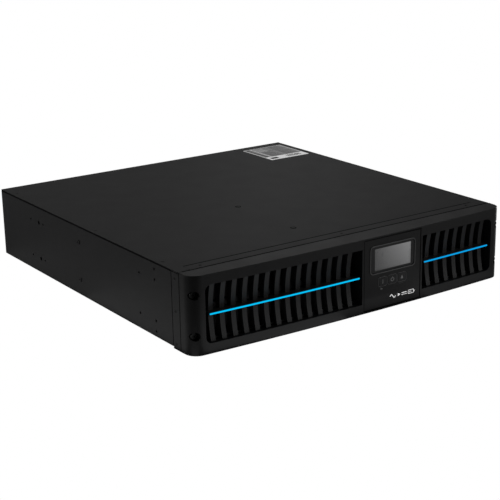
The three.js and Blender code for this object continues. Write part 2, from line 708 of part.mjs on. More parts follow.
// ---------------------------------------------------------------- rear fittings
function fanFrame(x) {
  const half = FAN.size / 2;
  const y1 = REAR_Y - SHEET - GAP;
  const y0 = y1 - FAN.depth;
  const square = runBack(centredRectangle(x, FAN.z, FAN.size, FAN.size, 4), y0, y1, 2);
  const hollow = cut(square, [rod("y", FAN.bore / 2, FAN.depth + 4, [x, (y0 + y1) / 2, FAN.z], 32)]);
  const spokes = [0, 1].map((i) =>
    new THREE.BoxGeometry(FAN.bore + 1, 2.5, 4)
      .rotateY(Math.PI / 4 + (i * Math.PI) / 2)
      .translate(x, y0 + 1.25, FAN.z),
  );
  const mount = rod("y", FAN.hub / 2, 3, [x, y0 + 1.5, FAN.z], 20);
  const waists = [0, 1, 2, 3].map((i) => {
    const angle = (i * Math.PI) / 2;
    return new THREE.BoxGeometry(24, FAN.depth - 8, 3)
      .translate(0, 0, half)
      .rotateY(angle)
      .translate(x, (y0 + y1) / 2, FAN.z);
  });
  return join([cut(hollow, waists), ...spokes, mount]);
}

// The hub turns on the frame's mount. Its blades are pitched slabs.
function fanRotor(x) {
  const y1 = REAR_Y - SHEET - GAP - 2;
  const y0 = y1 - 18;
  const hub = rod("y", FAN.hub / 2, y1 - y0, [x, (y0 + y1) / 2, FAN.z], 24);
  const blades = Array.from({ length: 7 }, (_, i) =>
    new THREE.BoxGeometry(19.4, 1.4, 17)
      .rotateX(0.62)
      .translate(FAN.hub / 2 + 9.7 - 1.2, 0, 0)
      .rotateY((i * 2 * Math.PI) / 7)
      .translate(x, (y0 + y1) / 2, FAN.z),
  );
  return join([hub, ...blades]);
}

// A finger guard outside the rear panel: rings on two crossed wires, with a screw eye at each corner.
function fanGuard(x) {
  const wire = 1.8;
  const y = REAR_Y + GAP;
  const rings = [12, 20.5, 29, 37].map((radius) => {
    const shape = new THREE.Shape().absarc(x, FAN.z, radius + wire / 2, 0, Math.PI * 2);
    shape.holes.push(new THREE.Path().absarc(x, FAN.z, radius - wire / 2, 0, Math.PI * 2));
    return runBack(shape, y + wire - 0.4, y + 2 * wire, 9);
  });
  const reach = (FAN.size - 9) * Math.SQRT1_2 * 2;
  const wires = [0, 1].map((i) =>
    new THREE.BoxGeometry(reach, wire, wire)
      .rotateY(Math.PI / 4 + (i * Math.PI) / 2)
      .translate(x, y + wire / 2, FAN.z),
  );
  const eyes = [-1, 1].flatMap((sx) =>
    [-1, 1].map((sz) => rod("y", 3.4, 2.6, [x + sx * 35.5, y + 1.3, FAN.z + sz * 35.5], 12)),
  );
  return join([...rings, ...wires, ...eyes]);
}

// The mouth of a mains connector: a rectangle with its two lower corners cut off.
function connectorShape(x, z, width, height, chamfer) {
  const [a, b] = [width / 2, height / 2];
  return polygon([
    [x - a + chamfer, z - b],
    [x + a - chamfer, z - b],
    [x + a, z - b + chamfer],
    [x + a, z + b],
    [x - a, z + b],
    [x - a, z - b + chamfer],
  ]);
}

// A strip of mains outlets. Each has a nose with three blade slots, in a moat that takes the plug's shroud.
function outletBank(low) {
  const { x0, x1, height, outlets, depth, flange } = OUTLET_BANK;
  const z = low + height / 2;
  const face = REAR_Y + flange;
  const plate = block([x0, REAR_Y + GAP / 3, low], [x1, face, low + height]);
  const carcass = block([x0 + 3, REAR_Y - depth, low + 3], [x1 - 3, REAR_Y + 1, low + height - 3]);
  const pitch = (x1 - x0) / outlets;
  const tools = [];
  for (let i = 0; i < outlets; i++) {
    const x = x0 + pitch * (i + 0.5);
    const mouth = runBack(connectorShape(x, z, 25, 17.4, 5), face - 15, face + 1);
    const nose = runBack(connectorShape(x, z, 19.6, 12, 3.6), face - 16, face - 1);
    const slots = [
      [-7, 1.4],
      [7, 1.4],
      [0, -2.4],
    ].map(([dx, dz]) => block([x + dx - 1.1, face - 12, z + dz - 2.2], [x + dx + 1.1, face, z + dz + 2.2]));
    tools.push(cut(mouth, [nose]), ...slots);
  }
  return cut(join([plate, carcass]), tools);
}

// The mains inlet: a deep mouth with three blades.
function acInlet() {
  const { x, z, width, height } = INLET;
  const face = REAR_Y + 2.6;
  const flange = block([x - width / 2, REAR_Y + 0.1, z - height / 2], [x + width / 2, face, z + height / 2]);
  const carcass = block([x - 12.2, REAR_Y - 22, z - 8.2], [x + 12.2, REAR_Y + 1, z + 8.2]);
  const mouth = runBack(connectorShape(x, z, 22.4, 14.8, 4.6), face - 17, face + 1);
  const blades = [
    [-7, 1.4],
    [7, 1.4],
    [0, -2.6],
  ].map(([dx, dz]) => block([x + dx - 1, face - 18, z + dz - 2], [x + dx + 1, face - 3, z + dz + 2]));
  const screws = [-1, 1].map((side) => rod("y", 2.6, 1.6, [x, face + 0.5, z + side * 12.6], 12));
  return join([cut(join([flange, carcass]), [mouth]), ...blades, ...screws]);
}

// A push-to-reset circuit breaker: threaded collar outside, body behind the panel.
const BREAKER_BORE = 4;

function breakerBody() {
  const { x, z } = BREAKER;
  const collar = rod("y", 8.5, 3.4, [x, REAR_Y + GAP + 1.7, z], 6);
  const neck = rod("y", BREAKER.radius - GAP, 10, [x, REAR_Y - 1, z], 20);
  const carcass = block([x - 8, REAR_Y - 34, z - 15], [x + 8, REAR_Y - SHEET - GAP, z + 15]);
  return cut(join([collar, neck, carcass]), [rod("y", BREAKER_BORE, 18, [x, REAR_Y + 1.4, z], 16)]);
}

function breakerButton() {
  const { x, z } = BREAKER;
  return join([
    rod("y", BREAKER_BORE - 0.25, 10, [x, REAR_Y + 1.2, z], 16),
    rod("y", BREAKER_BORE - 1.2, 1, [x, REAR_Y + 6.3, z], 16),
  ]);
}

// The blank over the communication slot, with a knurled captive screw at each end.
function slotCover() {
  const { x0, x1, z0, z1 } = SLOT;
  const plate = runBack(roundedRectangle(x0, z0, x1, z1, 1.5), REAR_Y + GAP / 3, REAR_Y + 1.6, 2);
  const z = (z0 + z1) / 2;
  const screws = [x0 + 7, x1 - 7].map((x) =>
    join([rod("y", 4.2, 4, [x, REAR_Y + 3.4, z], 16), rod("y", 1.8, 8, [x, REAR_Y + 5, z], 12, 1.8)]),
  );
  return join([plate, ...screws]);
}

// A nine-way socket: a D-shaped shell between two hexagonal pillars.
function serialPort() {
  const { x, z } = SERIAL;
  const shell = polygon([
    [x - 8.2, z + 4],
    [x - 7, z - 4],
    [x + 7, z - 4],
    [x + 8.2, z + 4],
  ]);
  const flange = block([x - 15.4, REAR_Y + 0.1, z - 6.2], [x + 15.4, REAR_Y + 1.1, z + 6.2]);
  const pillars = [-1, 1].map((side) => rod("y", 2.7, 5, [x + side * 12.5, REAR_Y + 2.6, z], 6));
  return join([flange, runBack(shell, REAR_Y - 8, REAR_Y + 6), ...pillars]);
}

// A square data socket with a tongue in its mouth.
function usbPort() {
  const { x, z } = USB;
  const face = REAR_Y + 0.8;
  const shell = block([x - 6, REAR_Y - 16, z - 5.5], [x + 6, face, z + 5.5]);
  const mouth = cut(block([x - 4.3, face - 9, z - 4], [x + 4.3, face + 1, z + 4]), [
    block([x - 2.8, face - 10, z - 1.6], [x + 2.8, face - 1, z + 1.6]),
  ]);
  return cut(shell, [mouth]);
}

const JACK = { width: 12, height: 8.4, depth: 12 };
const JACK_X = [NETWORK.x0 + 9.6, NETWORK.x1 - 9.6];
const JACK_Z = (NETWORK.z0 + NETWORK.z1) / 2;

// Two data-line jacks side by side.
function networkPorts() {
  const { x0, x1, z0, z1 } = NETWORK;
  const face = REAR_Y + 0.8;
  const shell = block([x0 + GAP, REAR_Y - 18, z0 + GAP], [x1 - GAP, face, z1 - GAP]);
  const mouths = JACK_X.flatMap((x) => [
    block(
      [x - JACK.width / 2, face - JACK.depth, JACK_Z - JACK.height / 2],
      [x + JACK.width / 2, face + 1, JACK_Z + JACK.height / 2],
    ),
    block([x - 3, face - JACK.depth, JACK_Z + 3], [x + 3, face + 1, JACK_Z + 6]),
  ]);
  return cut(shell, mouths);
}

// The emergency power-off terminal: a two-way plug with clamping screws.
function epoTerminal() {
  const { x, z } = EPO;
  const plug = block([x - 5.6, REAR_Y - 8, z - 4], [x + 5.6, REAR_Y + 6, z + 4]);
  const holes = [-1, 1].flatMap((side) => [
    rod("z", 1.6, 2, [x + side * 2.8, REAR_Y + 3.2, z + 4], 10),
    block([x + side * 2.8 - 1.5, REAR_Y + 3, z - 2.6], [x + side * 2.8 + 1.5, REAR_Y + 7, z + 0.8]),
  ]);
  return cut(plug, holes);
}

function groundStud() {
  const [x, z] = [-42.5, 38];
  return join([
    rod("y", 4.4, 1.2, [x, REAR_Y + GAP + 0.6, z], 16),
    rod("y", 3.6, 3, [x, REAR_Y + GAP + 2.4, z], 6),
    rod("y", 2, 8, [x, REAR_Y + GAP + 4, z], 12),
  ]);
}

// The rating label, on the lid near the rear right corner.
const ratingLabel = () => block([146, SEAM_Y + 343.5, TOP], [209.5, SEAM_Y + 414, TOP + 0.2]);

// ---------------------------------------------------------------- assembly
add("chassis_tray", chassisTray(), FINISH.blackSteel);
add("top_cover", topCover(), FINISH.blackSteel);
add("front_frame", frontFrame(), FINISH.blackSteel);
add("rear_panel", rearPanel(), FINISH.blackSteel);
const FOOT_INSET = { x: 175, front: 40, rear: 370 };
for (const [side, x] of [["left", -FOOT_INSET.x], ["right", FOOT_INSET.x]]) {
  add(`foot_front_${side}`, foot(x, SEAM_Y + FOOT_INSET.front), FINISH.rubber);
  add(`foot_rear_${side}`, foot(x, SEAM_Y + FOOT_INSET.rear), FINISH.rubber);
}

add("front_bezel", frontBezel(), FINISH.bezelPlastic);
screwPlaces.forEach((place, i) => add(`bezel_screw_${i + 1}`, bezelScrew(place), FINISH.bareSteel));
for (const [side, spec] of Object.entries(GRILLES)) {
  add(`grille_${side}`, grille(spec), FINISH.grillePlastic);
  add(`light_strip_${side}`, litStrip(spec), FINISH.litStrip);
}

const controlModule = bodyGroup("control_module");
add("module_housing", moduleHousing(), FINISH.bezelPlastic, controlModule);
add("module_back", moduleBack(), FINISH.bezelPlastic, controlModule);
add("display_lens", displayLens(), FINISH.lens, controlModule);
add("lcd_panel", lcdPanel(), FINISH.lcd, controlModule);
add("display_board", displayBoard(), FINISH.circuitBoard, controlModule);
for (const [name, x] of Object.entries(BUTTON_X)) add(name, button(x), FINISH.keyPlastic, controlModule);

add("battery_tray", batteryTray(), FINISH.bareSteel);
add("battery_door", batteryDoor(), FINISH.blackSteel);
for (const [name, [capX, row, towards]] of Object.entries(BATTERY_PLACES)) {
  add(name, battery(capX, ROW_FRONT_Y + row * ROW_PITCH, towards), FINISH.batteryPlastic);
}
add("partition_wall", partitionWall(), FINISH.bareSteel);

add("main_board", mainBoard(), FINISH.circuitBoard);
add("heatsink_inner", heatsink(36), FINISH.aluminium);
add("heatsink_outer", heatsink(160), FINISH.aluminium);
const { core, winding } = transformer();
add("transformer_core", core, FINISH.ferrite);
add("transformer_winding", winding, FINISH.copper);
add("inductor_front", inductor(118, BOARD.y0 + 30), FINISH.copper);
add("inductor_rear", inductor(180, BOARD.y0 + 30), FINISH.copper);
[125, 165].forEach((y, i) => add(`capacitor_${i + 1}`, capacitor(116, BOARD.y0 + y), FINISH.capacitorSleeve));

for (const [name, x] of Object.entries(FAN_X)) {
  add(`${name}_frame`, fanFrame(x), FINISH.fanPlastic);
  add(`${name}_rotor`, fanRotor(x), FINISH.fanPlastic, bodyGroup(name));
  add(`${name}_guard`, fanGuard(x), FINISH.bareSteel);
}
for (const [name, low] of Object.entries(BANK_LOW)) add(name, outletBank(low), FINISH.socketPlastic);
add("ac_inlet", acInlet(), FINISH.socketPlastic);
add("breaker_body", breakerBody(), FINISH.socketPlastic);
add("breaker_button", breakerButton(), FINISH.socketPlastic, bodyGroup("breaker"));
add("slot_cover", slotCover(), FINISH.blackSteel);
add("serial_port", serialPort(), FINISH.bareSteel);
add("usb_port", usbPort(), FINISH.bareSteel);
add("network_ports", networkPorts(), FINISH.socketPlastic);
add("epo_terminal", epoTerminal(), FINISH.greenPlastic);
add("ground_stud", groundStud(), FINISH.bareSteel);
add("rating_label", ratingLabel(), FINISH.label);

export default ups;
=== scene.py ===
"""The looks of a two-unit rack or tower uninterruptible power supply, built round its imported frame."""
import json
import math

import bmesh
import bpy
from mathutils import Matrix, Vector


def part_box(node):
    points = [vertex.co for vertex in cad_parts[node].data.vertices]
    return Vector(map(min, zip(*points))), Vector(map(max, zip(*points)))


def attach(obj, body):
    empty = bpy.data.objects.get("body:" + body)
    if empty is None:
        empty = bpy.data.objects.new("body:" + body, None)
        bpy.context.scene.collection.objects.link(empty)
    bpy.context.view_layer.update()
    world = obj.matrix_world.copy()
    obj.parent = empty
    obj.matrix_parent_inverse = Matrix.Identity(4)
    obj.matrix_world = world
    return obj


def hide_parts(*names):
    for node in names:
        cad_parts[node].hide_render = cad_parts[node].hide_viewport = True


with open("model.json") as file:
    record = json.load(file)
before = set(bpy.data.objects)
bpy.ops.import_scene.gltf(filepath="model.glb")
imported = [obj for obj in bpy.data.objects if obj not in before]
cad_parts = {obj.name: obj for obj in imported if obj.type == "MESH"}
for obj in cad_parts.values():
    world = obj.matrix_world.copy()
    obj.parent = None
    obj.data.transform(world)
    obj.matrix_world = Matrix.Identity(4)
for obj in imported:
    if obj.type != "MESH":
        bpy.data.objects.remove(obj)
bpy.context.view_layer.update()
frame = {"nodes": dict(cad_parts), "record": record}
NODES = frame["nodes"]
MM = 0.001


# ---------------------------------------------------------------- materials
def add_node(tree, kind, **values):
    """A shader node, with its attributes and inputs set by name."""
    made = tree.nodes.new(kind)
    for name, value in values.items():
        if name in made.inputs:
            made.inputs[name].default_value = value
        else:
            setattr(made, name, value)
    return made


def noise(tree, scale, detail=2.0, stretch=(1, 1, 1)):
    """A noise pattern in the object's own metres. A stretch over 1 makes it finer along that axis."""
    place = add_node(tree, "ShaderNodeTexCoord")
    mapping = add_node(tree, "ShaderNodeMapping", Scale=stretch)
    pattern = add_node(tree, "ShaderNodeTexNoise", Scale=scale, Detail=detail)
    tree.links.new(place.outputs["Object"], mapping.inputs["Vector"])
    tree.links.new(mapping.outputs["Vector"], pattern.inputs["Vector"])
    return pattern.outputs["Fac"]


def ranged(tree, source, low, high, start=0.3, end=0.7):
    """The source's usual range, start to end, moved to low to high."""
    made = add_node(tree, "ShaderNodeMapRange")
    tree.links.new(source, made.inputs["Value"])
    for socket, value in zip(("From Min", "From Max", "To Min", "To Max"), (start, end, low, high)):
        made.inputs[socket].default_value = value
    return made.outputs["Result"]


def blended(tree, factor, first, second):
    """A colour between two, by a factor from 0 to 1."""
    made = add_node(tree, "ShaderNodeMix", data_type="RGBA")
    tree.links.new(factor, made.inputs["Factor"])
    for socket, colour in zip([s for s in made.inputs if s.type == "RGBA"], (first, second)):
        socket.default_value = (*colour, 1)
    return next(s for s in made.outputs if s.type == "RGBA")


def along(tree, axis, low, high):
    """0 at low and 1 at high, both in millimetres, along an axis of the object's own."""
    place = add_node(tree, "ShaderNodeTexCoord")
    axes = add_node(tree, "ShaderNodeSeparateXYZ")
    tree.links.new(place.outputs["Object"], axes.inputs["Vector"])
    return ranged(tree, axes.outputs[axis], 0, 1, low * MM, high * MM)


def finish(
    name, colour, roughness, *, vary=0.12, cloud=9.0, grain=1800.0, depth=0.03, metallic=0.0, specular=0.5,
    stretch=(1, 1, 1), rough_vary=0.05, **sockets,
):
    """A surface with a slightly clouded colour, an uneven sheen and a fine moulded or sprayed grain.

    vary is how far the colour strays, and rough_vary how far the roughness does. cloud is how many patches
    of colour there are to a metre, and grain how many bumps. depth is how high the bumps stand, in
    millimetres. Any other value is set on the shader's socket of that name.
    """
    made = bpy.data.materials.new(name)
    made.use_nodes = True
    tree = made.node_tree
    surface = tree.nodes["Principled BSDF"]
    darker = [c * (1 - vary) for c in colour]
    lighter = [min(1, c * (1 + vary)) for c in colour]
    clouds = ranged(tree, noise(tree, cloud, 3.0, stretch), 0, 1)
    tree.links.new(blended(tree, clouds, darker, lighter), surface.inputs["Base Color"])
    smears = noise(tree, cloud * 4, 4.0, stretch)
    sheen = ranged(tree, smears, roughness - rough_vary, roughness + rough_vary)
    tree.links.new(sheen, surface.inputs["Roughness"])
    if depth:
        bump = add_node(tree, "ShaderNodeBump", Strength=1.0, Distance=depth * MM)
        tree.links.new(noise(tree, grain, 2.0, stretch), bump.inputs["Height"])
        tree.links.new(bump.outputs["Normal"], surface.inputs["Normal"])
    surface.inputs["Metallic"].default_value = metallic
    surface.inputs["Specular IOR Level"].default_value = specular
    for socket, value in sockets.items():
        surface.inputs[socket.replace("_", " ")].default_value = value
    return made


def painted_glow(name, colour, strength, roughness=0.5, **looks):
    """A finish with a little white glow painted in, which stands in for light falling on it."""
    return finish(name, colour, roughness, Emission_Color=(1, 1, 1, 1), Emission_Strength=strength, **looks)


def light_guide():
    """The strips' blue plastic, a little dimmer on the right side."""
    made = finish(
        "light_guide", (0, 0.01, 0.02), 0.5, vary=0.05, depth=0, specular=0.0, Emission_Strength=1.0,
    )
    tree = made.node_tree
    bright, dim = (0.0015, 0.556, 0.97), (0.003, 0.36, 0.8)
    glow = blended(tree, along(tree, "X", 0, 95), bright, dim)
    tree.links.new(glow, tree.nodes["Principled BSDF"].inputs["Emission Color"])
    return made


LAMINATED = (1, 12, 1)  # a pattern's stretch: finer along Y, as in a stack of sheets
EXTRUDED = (12, 1, 12)  # and drawn out along Y, as on an extrusion's skin
FINISHES = {  # material slot in the record: its material
    "black_steel": finish(
        "powder_coat", (0.0125, 0.0125, 0.013), 0.5, vary=0.06, rough_vary=0.012, grain=1500, depth=0.02,
        specular=0.4,
    ),
    "bare_steel": finish(
        "zinc_plate", (0.52, 0.53, 0.54), 0.32, vary=0.1, cloud=30, depth=0.01, metallic=1.0,
    ),
    "laminated_steel": finish("varnished_laminations", (0.05, 0.05, 0.055), 0.5, stretch=LAMINATED),
    "bezel_plastic": finish(
        "bezel_grain", (0.0066, 0.0066, 0.007), 0.45, rough_vary=0.02, grain=2600, depth=0.012, specular=0.4,
    ),
    "grille_plastic": finish(
        "fin_plastic", (0.0155, 0.0155, 0.0158), 0.5, rough_vary=0.02, grain=2600, depth=0.008, specular=0.4,
    ),
    "lit_strip": light_guide(),
    "lens": finish(
        "tinted_lens", (0.01, 0.01, 0.011), 0.08, vary=0.02, rough_vary=0.01, depth=0, Alpha=0.18,
    ),
    "lcd": finish("display_glass", (0.12, 0.12, 0.122), 0.25, vary=0.04, depth=0),
    "key_plastic": finish("key_cap", (0.01, 0.01, 0.0108), 0.42, grain=2600, depth=0.008),
    "socket_plastic": finish("socket_plastic", (0.008, 0.008, 0.0085), 0.45, grain=2000, depth=0.01),
    "fan_plastic": finish("fan_plastic", (0.008, 0.008, 0.0085), 0.4, grain=2000, depth=0.006),
    "green_plastic": finish("terminal_green", (0.01, 0.16, 0.05), 0.45, depth=0.006),
    "battery_plastic": finish("battery_case", (0.05, 0.052, 0.058), 0.6, depth=0.02),
    "circuit_board": finish(
        "solder_mask", (0.01, 0.07, 0.03), 0.3, vary=0.2, cloud=200, depth=0.02, grain=600,
    ),
    "aluminium": finish(
        "extruded_aluminium", (0.5, 0.51, 0.52), 0.4, depth=0.006, metallic=1.0, stretch=EXTRUDED,
    ),
    "copper": finish("enamelled_copper", (0.42, 0.13, 0.04), 0.3, depth=0.02, metallic=0.9),
    "capacitor_sleeve": finish("shrink_sleeve", (0.008, 0.015, 0.06), 0.3, depth=0.004),
    "rubber": finish("moulded_rubber", (0.012, 0.012, 0.012), 0.8, depth=0.03),
    # the label's foil has a painted glow, standing in for the light that it catches
    "label": painted_glow("label_foil_painted_glow", (0.8, 0.8, 0.8), 0.42, 0.45, vary=0.04, depth=0.002),
}
# the white print has a painted glow that makes it brighter than its lighting does
PRINT_WHITE_PAINTED_GLOW = painted_glow("print_white_painted_glow", (0.8, 0.8, 0.8), 0.5, vary=0.03, depth=0)
PRINT_DIM = finish("print_dim", (0.2, 0.2, 0.2), 0.5, vary=0.03, depth=0)
PRINT_FAINT = finish("print_faint", (0.045, 0.045, 0.046), 0.5, vary=0.03, depth=0)
KEY_INK = finish("key_ink", (0.34, 0.34, 0.34), 0.5, vary=0.05, depth=0)
MASK_INK = finish("mask_ink", (0.014, 0.014, 0.0145), 0.5, vary=0.05, depth=0.004)
# the rims' light grey and faint glow are a painted highlight, standing in for light caught on a glossy bevel
RIM_PAINTED_HIGHLIGHT = painted_glow("rim_painted_highlight", (0.07, 0.07, 0.071), 0.009, 0.35, vary=0.05, depth=0)
LABEL_PAPER = finish("label_paper", (0.4, 0.4, 0.4), 0.5, vary=0.04, depth=0.002)
# the label's grey and light print have a painted glow, standing in for the light that the label catches
PRINT_GREY_PAINTED_GLOW = painted_glow("print_grey_painted_glow", (0.42, 0.42, 0.424), 0.075, vary=0.1, cloud=60, depth=0)
PRINT_LIGHT_PAINTED_GLOW = painted_glow("print_light_painted_glow", (0.6, 0.6, 0.6), 0.18, vary=0.1, cloud=60, depth=0)
PRINT_BLACK = finish("print_black", (0.03, 0.03, 0.03), 0.45, vary=0.1, depth=0)
# near-black strips and sheets: painted shade in the seams and dimples, and black foam behind the grilles
FOAM_AND_PAINTED_SHADE = finish("foam_and_painted_shade", (0.001, 0.001, 0.001), 0.9, specular=0.1, depth=0)
BRASS = finish("contact_brass", (0.5, 0.33, 0.1), 0.3, depth=0.004, metallic=1.0)
BLACK_SCREW = finish(
    "blackened_steel", (0.006, 0.006, 0.006), 0.45, vary=0.15, cloud=60, depth=0.01, specular=0.3,
)


# ---------------------------------------------------------------- carried-over nodes
CAD_SHARP = 32  # a CAD edge that turns by more than this many degrees is rounded
COPLANAR = 0.5  # faces that turn by less than this many degrees are joined before that


def soften(node, width):
    """Rounds a CAD node's sharp edges by width millimetres. At 0 they stay sharp, and its faces flat."""
    part = NODES[node]
    mesh = part.data
    for name in ("custom_normal", "sharp_edge", "sharp_face"):
        if name in mesh.attributes:
            mesh.attributes.remove(mesh.attributes[name])
    for face in mesh.polygons:
        face.use_smooth = bool(width)
    part.modifiers.new("merge", "WELD").merge_threshold = 0.002 * MM
    if width:
        flatten = part.modifiers.new("flatten", "DECIMATE")
        flatten.decimate_type = "DISSOLVE"
        flatten.angle_limit = math.radians(COPLANAR)
        edges = part.modifiers.new("edges", "BEVEL")
        edges.width = width * MM
        edges.segments = 2
        edges.limit_method = "ANGLE"
        edges.angle_limit = math.radians(CAD_SHARP)
        edges.miter_outer = "MITER_ARC"
        part.modifiers.new("shading", "WEIGHTED_NORMAL")


USUAL_EDGE = 0.3  # radius of a node's edges in millimetres, where the list below gives no other
EDGES = {  # node, or the start of its name: the radius of its edges
    "chassis_tray": 0.25,
    "top_cover": 0.25,
    "front_frame": 0.25,
    "rear_panel": 0.2,
    "front_bezel": 0.5,
    "grille_": 0.4,
    "light_strip_": 0.35,
    "module_housing": 0.2,
    "button_": 0.25,
    "display_lens": 0.2,
    "battery_front": 1.5,
    "battery_rear": 1.5,
    "serial_port": 0.08,
    "outlet_bank": 0,
    "network_ports": 0.2,
    "rating_label": 0,
}


BEZEL_ROUND = 1.8  # radius of the round along the bezel's front edge, at its top and at its bottom
BEZEL_ROUND_DEPTH = 19  # how far back from the bezel's front the round runs
AFTER_FLATTEN = 2  # the round's place among the bezel's modifiers, before its other edges' own


def round_bezel():
    """A wider round along the bezel's front edge, at its top and at its bottom."""
    bezel = NODES["front_bezel"]
    low, high = (Vector(corner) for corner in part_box("front_bezel"))
    back = low.y + BEZEL_ROUND_DEPTH * MM
    level_with = 0.05 * MM
    for name, level in (("bottom", low.z), ("top", high.z)):
        group = bezel.vertex_groups.new(name=name)
        for vertex in bezel.data.vertices:
            place = bezel.matrix_world @ vertex.co
            if abs(place.z - level) < level_with and place.y < back:
                group.add([vertex.index], 1.0, "REPLACE")
        rounding = bezel.modifiers.new(f"{name}_round", "BEVEL")
        rounding.width = BEZEL_ROUND * MM
        rounding.segments = 4
        rounding.limit_method = "VGROUP"
        rounding.vertex_group = name
        bezel.modifiers.move(len(bezel.modifiers) - 1, AFTER_FLATTEN)


def finish_nodes():
    """Rounds every CAD node's edges and gives it the material of its slot in the record."""
    slots = {row["node"]: row["material_slot"] for row in frame["record"]["subparts"]}
    for node, part in NODES.items():
        widths = [width for start, width in EDGES.items() if node.startswith(start)]
        soften(node, widths[0] if widths else USUAL_EDGE)
        part.data.materials.clear()
        part.data.materials.append(BLACK_SCREW if node.startswith("bezel_screw") else FINISHES[slots[node]])
    round_bezel()


# ---------------------------------------------------------------- mesh building
def outline_box(x, z, width, height, radius=0.0, steps=5):
    """A rectangle's outline round its middle, counter-clockwise, with rounded corners."""
    if not radius:
        return [(x + sx * width / 2, z + sz * height / 2) for sx, sz in ((-1, -1), (1, -1), (1, 1), (-1, 1))]
    points = []
    for corner, (sx, sz) in enumerate(((1, -1), (1, 1), (-1, 1), (-1, -1))):
        for i in range(steps + 1):
            angle = math.radians(-90 + 90 * corner + 90 * i / steps)
            points.append((
                x + sx * (width / 2 - radius) + radius * math.cos(angle),
                z + sz * (height / 2 - radius) + radius * math.sin(angle),
            ))
    return points


def outline_circle(x, z, radius, sides=24):
    """A circle's outline round its middle, counter-clockwise."""
    return [
        (x + radius * math.cos(2 * math.pi * i / sides), z + radius * math.sin(2 * math.pi * i / sides))
        for i in range(sides)
    ]


def prism(outline, low, high):
    """A solid with this outline, from low to high along its third axis."""
    count = len(outline)
    verts = [(a, b, low) for a, b in outline] + [(a, b, high) for a, b in outline]
    faces = [tuple(range(count - 1, -1, -1)), tuple(range(count, 2 * count))]
    faces += [(i, (i + 1) % count, (i + 1) % count + count, i + count) for i in range(count)]
    return verts, faces


def frame_prism(outer, inner, low, high):
    """A flat ring between two outlines with as many points as each other."""
    count = len(outer)
    verts = [(a, b, h) for h in (low, high) for line in (outer, inner) for a, b in line]
    faces = []
    for i in range(count):
        j = (i + 1) % count
        faces.append((i + count, j + count, j, i))
        faces.append((i + 2 * count, j + 2 * count, j + 3 * count, i + 3 * count))
        faces.append((i, j, j + 2 * count, i + 2 * count))
        faces.append((j + count, i + count, i + 3 * count, j + 3 * count))
    return verts, faces


def lathe(profile, sides=24):
    """A profile of (radius, height) points turned round the third axis. It starts and ends on the axis."""
    verts = [(0, 0, profile[0][1])]
    for radius, height in profile[1:-1]:
        verts += [(a, b, height) for a, b in outline_circle(0, 0, radius, sides)]
    verts.append((0, 0, profile[-1][1]))
    last = len(verts) - 1
    faces = [(0, 1 + (i + 1) % sides, 1 + i) for i in range(sides)]
    for ring in range(len(profile) - 3):
        start = 1 + ring * sides
        for i in range(sides):
            j = (i + 1) % sides
            faces.append((start + i, start + j, start + sides + j, start + sides + i))
    start = last - sides
    faces += [(start + i, start + (i + 1) % sides, last) for i in range(sides)]
    return verts, faces


def tube(path, radius, sides=8, closed=False):
    """A round wire along a path."""
    points = [Vector(point) for point in path]
    count = len(points)
    verts = []
    faces = []
    for i, point in enumerate(points):
        before = points[i - 1] if closed or i else point
        after = points[(i + 1) % count] if closed or i + 1 < count else point
        forward = (after - before).normalized()
        reference = Vector((0, 0, 1)) if abs(forward.z) < 0.9 else Vector((1, 0, 0))
        side = forward.cross(reference).normalized()
        up = side.cross(forward)
        for k in range(sides):
            angle = 2 * math.pi * k / sides
            verts.append(tuple(point + radius * (side * math.cos(angle) + up * math.sin(angle))))
    for i in range(count if closed else count - 1):
        a, b = i * sides, ((i + 1) % count) * sides
        faces += [(a + k, a + (k + 1) % sides, b + (k + 1) % sides, b + k) for k in range(sides)]
    if not closed:
        faces.append(tuple(range(sides - 1, -1, -1)))
        faces.append(tuple(range((count - 1) * sides, count * sides)))
    return verts, faces


def placed(shape, place, facing):
    """A shape moved to a place, with its third axis turned to face along a direction."""
    turns = {
        "+z": ((1, 0, 0), (0, 1, 0), (0, 0, 1)),
        "-z": ((1, 0, 0), (0, -1, 0), (0, 0, -1)),
        "-y": ((1, 0, 0), (0, 0, 1), (0, -1, 0)),
        "+y": ((-1, 0, 0), (0, 0, 1), (0, 1, 0)),
        "-x": ((0, -1, 0), (0, 0, 1), (-1, 0, 0)),
        "+x": ((0, 1, 0), (0, 0, 1), (1, 0, 0)),
    }
    a, b, c = (Vector(v) for v in turns[facing])
    verts, faces = shape
    return [tuple(Vector(place) + a * x + b * y + c * z) for x, y, z in verts], faces


def turned(shape, angle):
    """A shape turned round its third axis."""
    verts, faces = shape
    cos, sin = math.cos(angle), math.sin(angle)
    return [(x * cos - y * sin, x * sin + y * cos, z) for x, y, z in verts], faces


def gathered(shapes):
    """Several shapes as one."""
    verts, faces = [], []
    for more_verts, more_faces in shapes:
        start = len(verts)
        verts += more_verts
        faces += [tuple(start + i for i in face) for face in more_faces]
    return verts, faces


PIECE_SHARP = 35  # an edge of a piece made here that turns by more than this many degrees is rounded


def piece(name, shapes, material, body="body", edge=0.0, replaces=()):
    """One object from shapes in millimetres, that rides on a body and stands for the nodes it replaces."""
    verts, faces = gathered(shapes)
    mesh = bpy.data.meshes.new(name)
    mesh.from_pydata([(x * MM, y * MM, z * MM) for x, y, z in verts], [], faces)
    mesh.validate()
    shell = bmesh.new()
    shell.from_mesh(mesh)
    bmesh.ops.recalc_face_normals(shell, faces=shell.faces)
    shell.to_mesh(mesh)
    shell.free()
    for face in mesh.polygons:
        face.use_smooth = True
    mesh.materials.append(material)
    made = bpy.data.objects.new(name, mesh)
    bpy.context.scene.collection.objects.link(made)
    if edge:
        rounding = made.modifiers.new("edges", "BEVEL")
        rounding.width = edge * MM
        rounding.segments = 2
        rounding.limit_method = "ANGLE"
        rounding.angle_limit = math.radians(PIECE_SHARP)
    made.modifiers.new("shading", "WEIGHTED_NORMAL")
    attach(made, body)
    if replaces:
        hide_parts(*replaces)


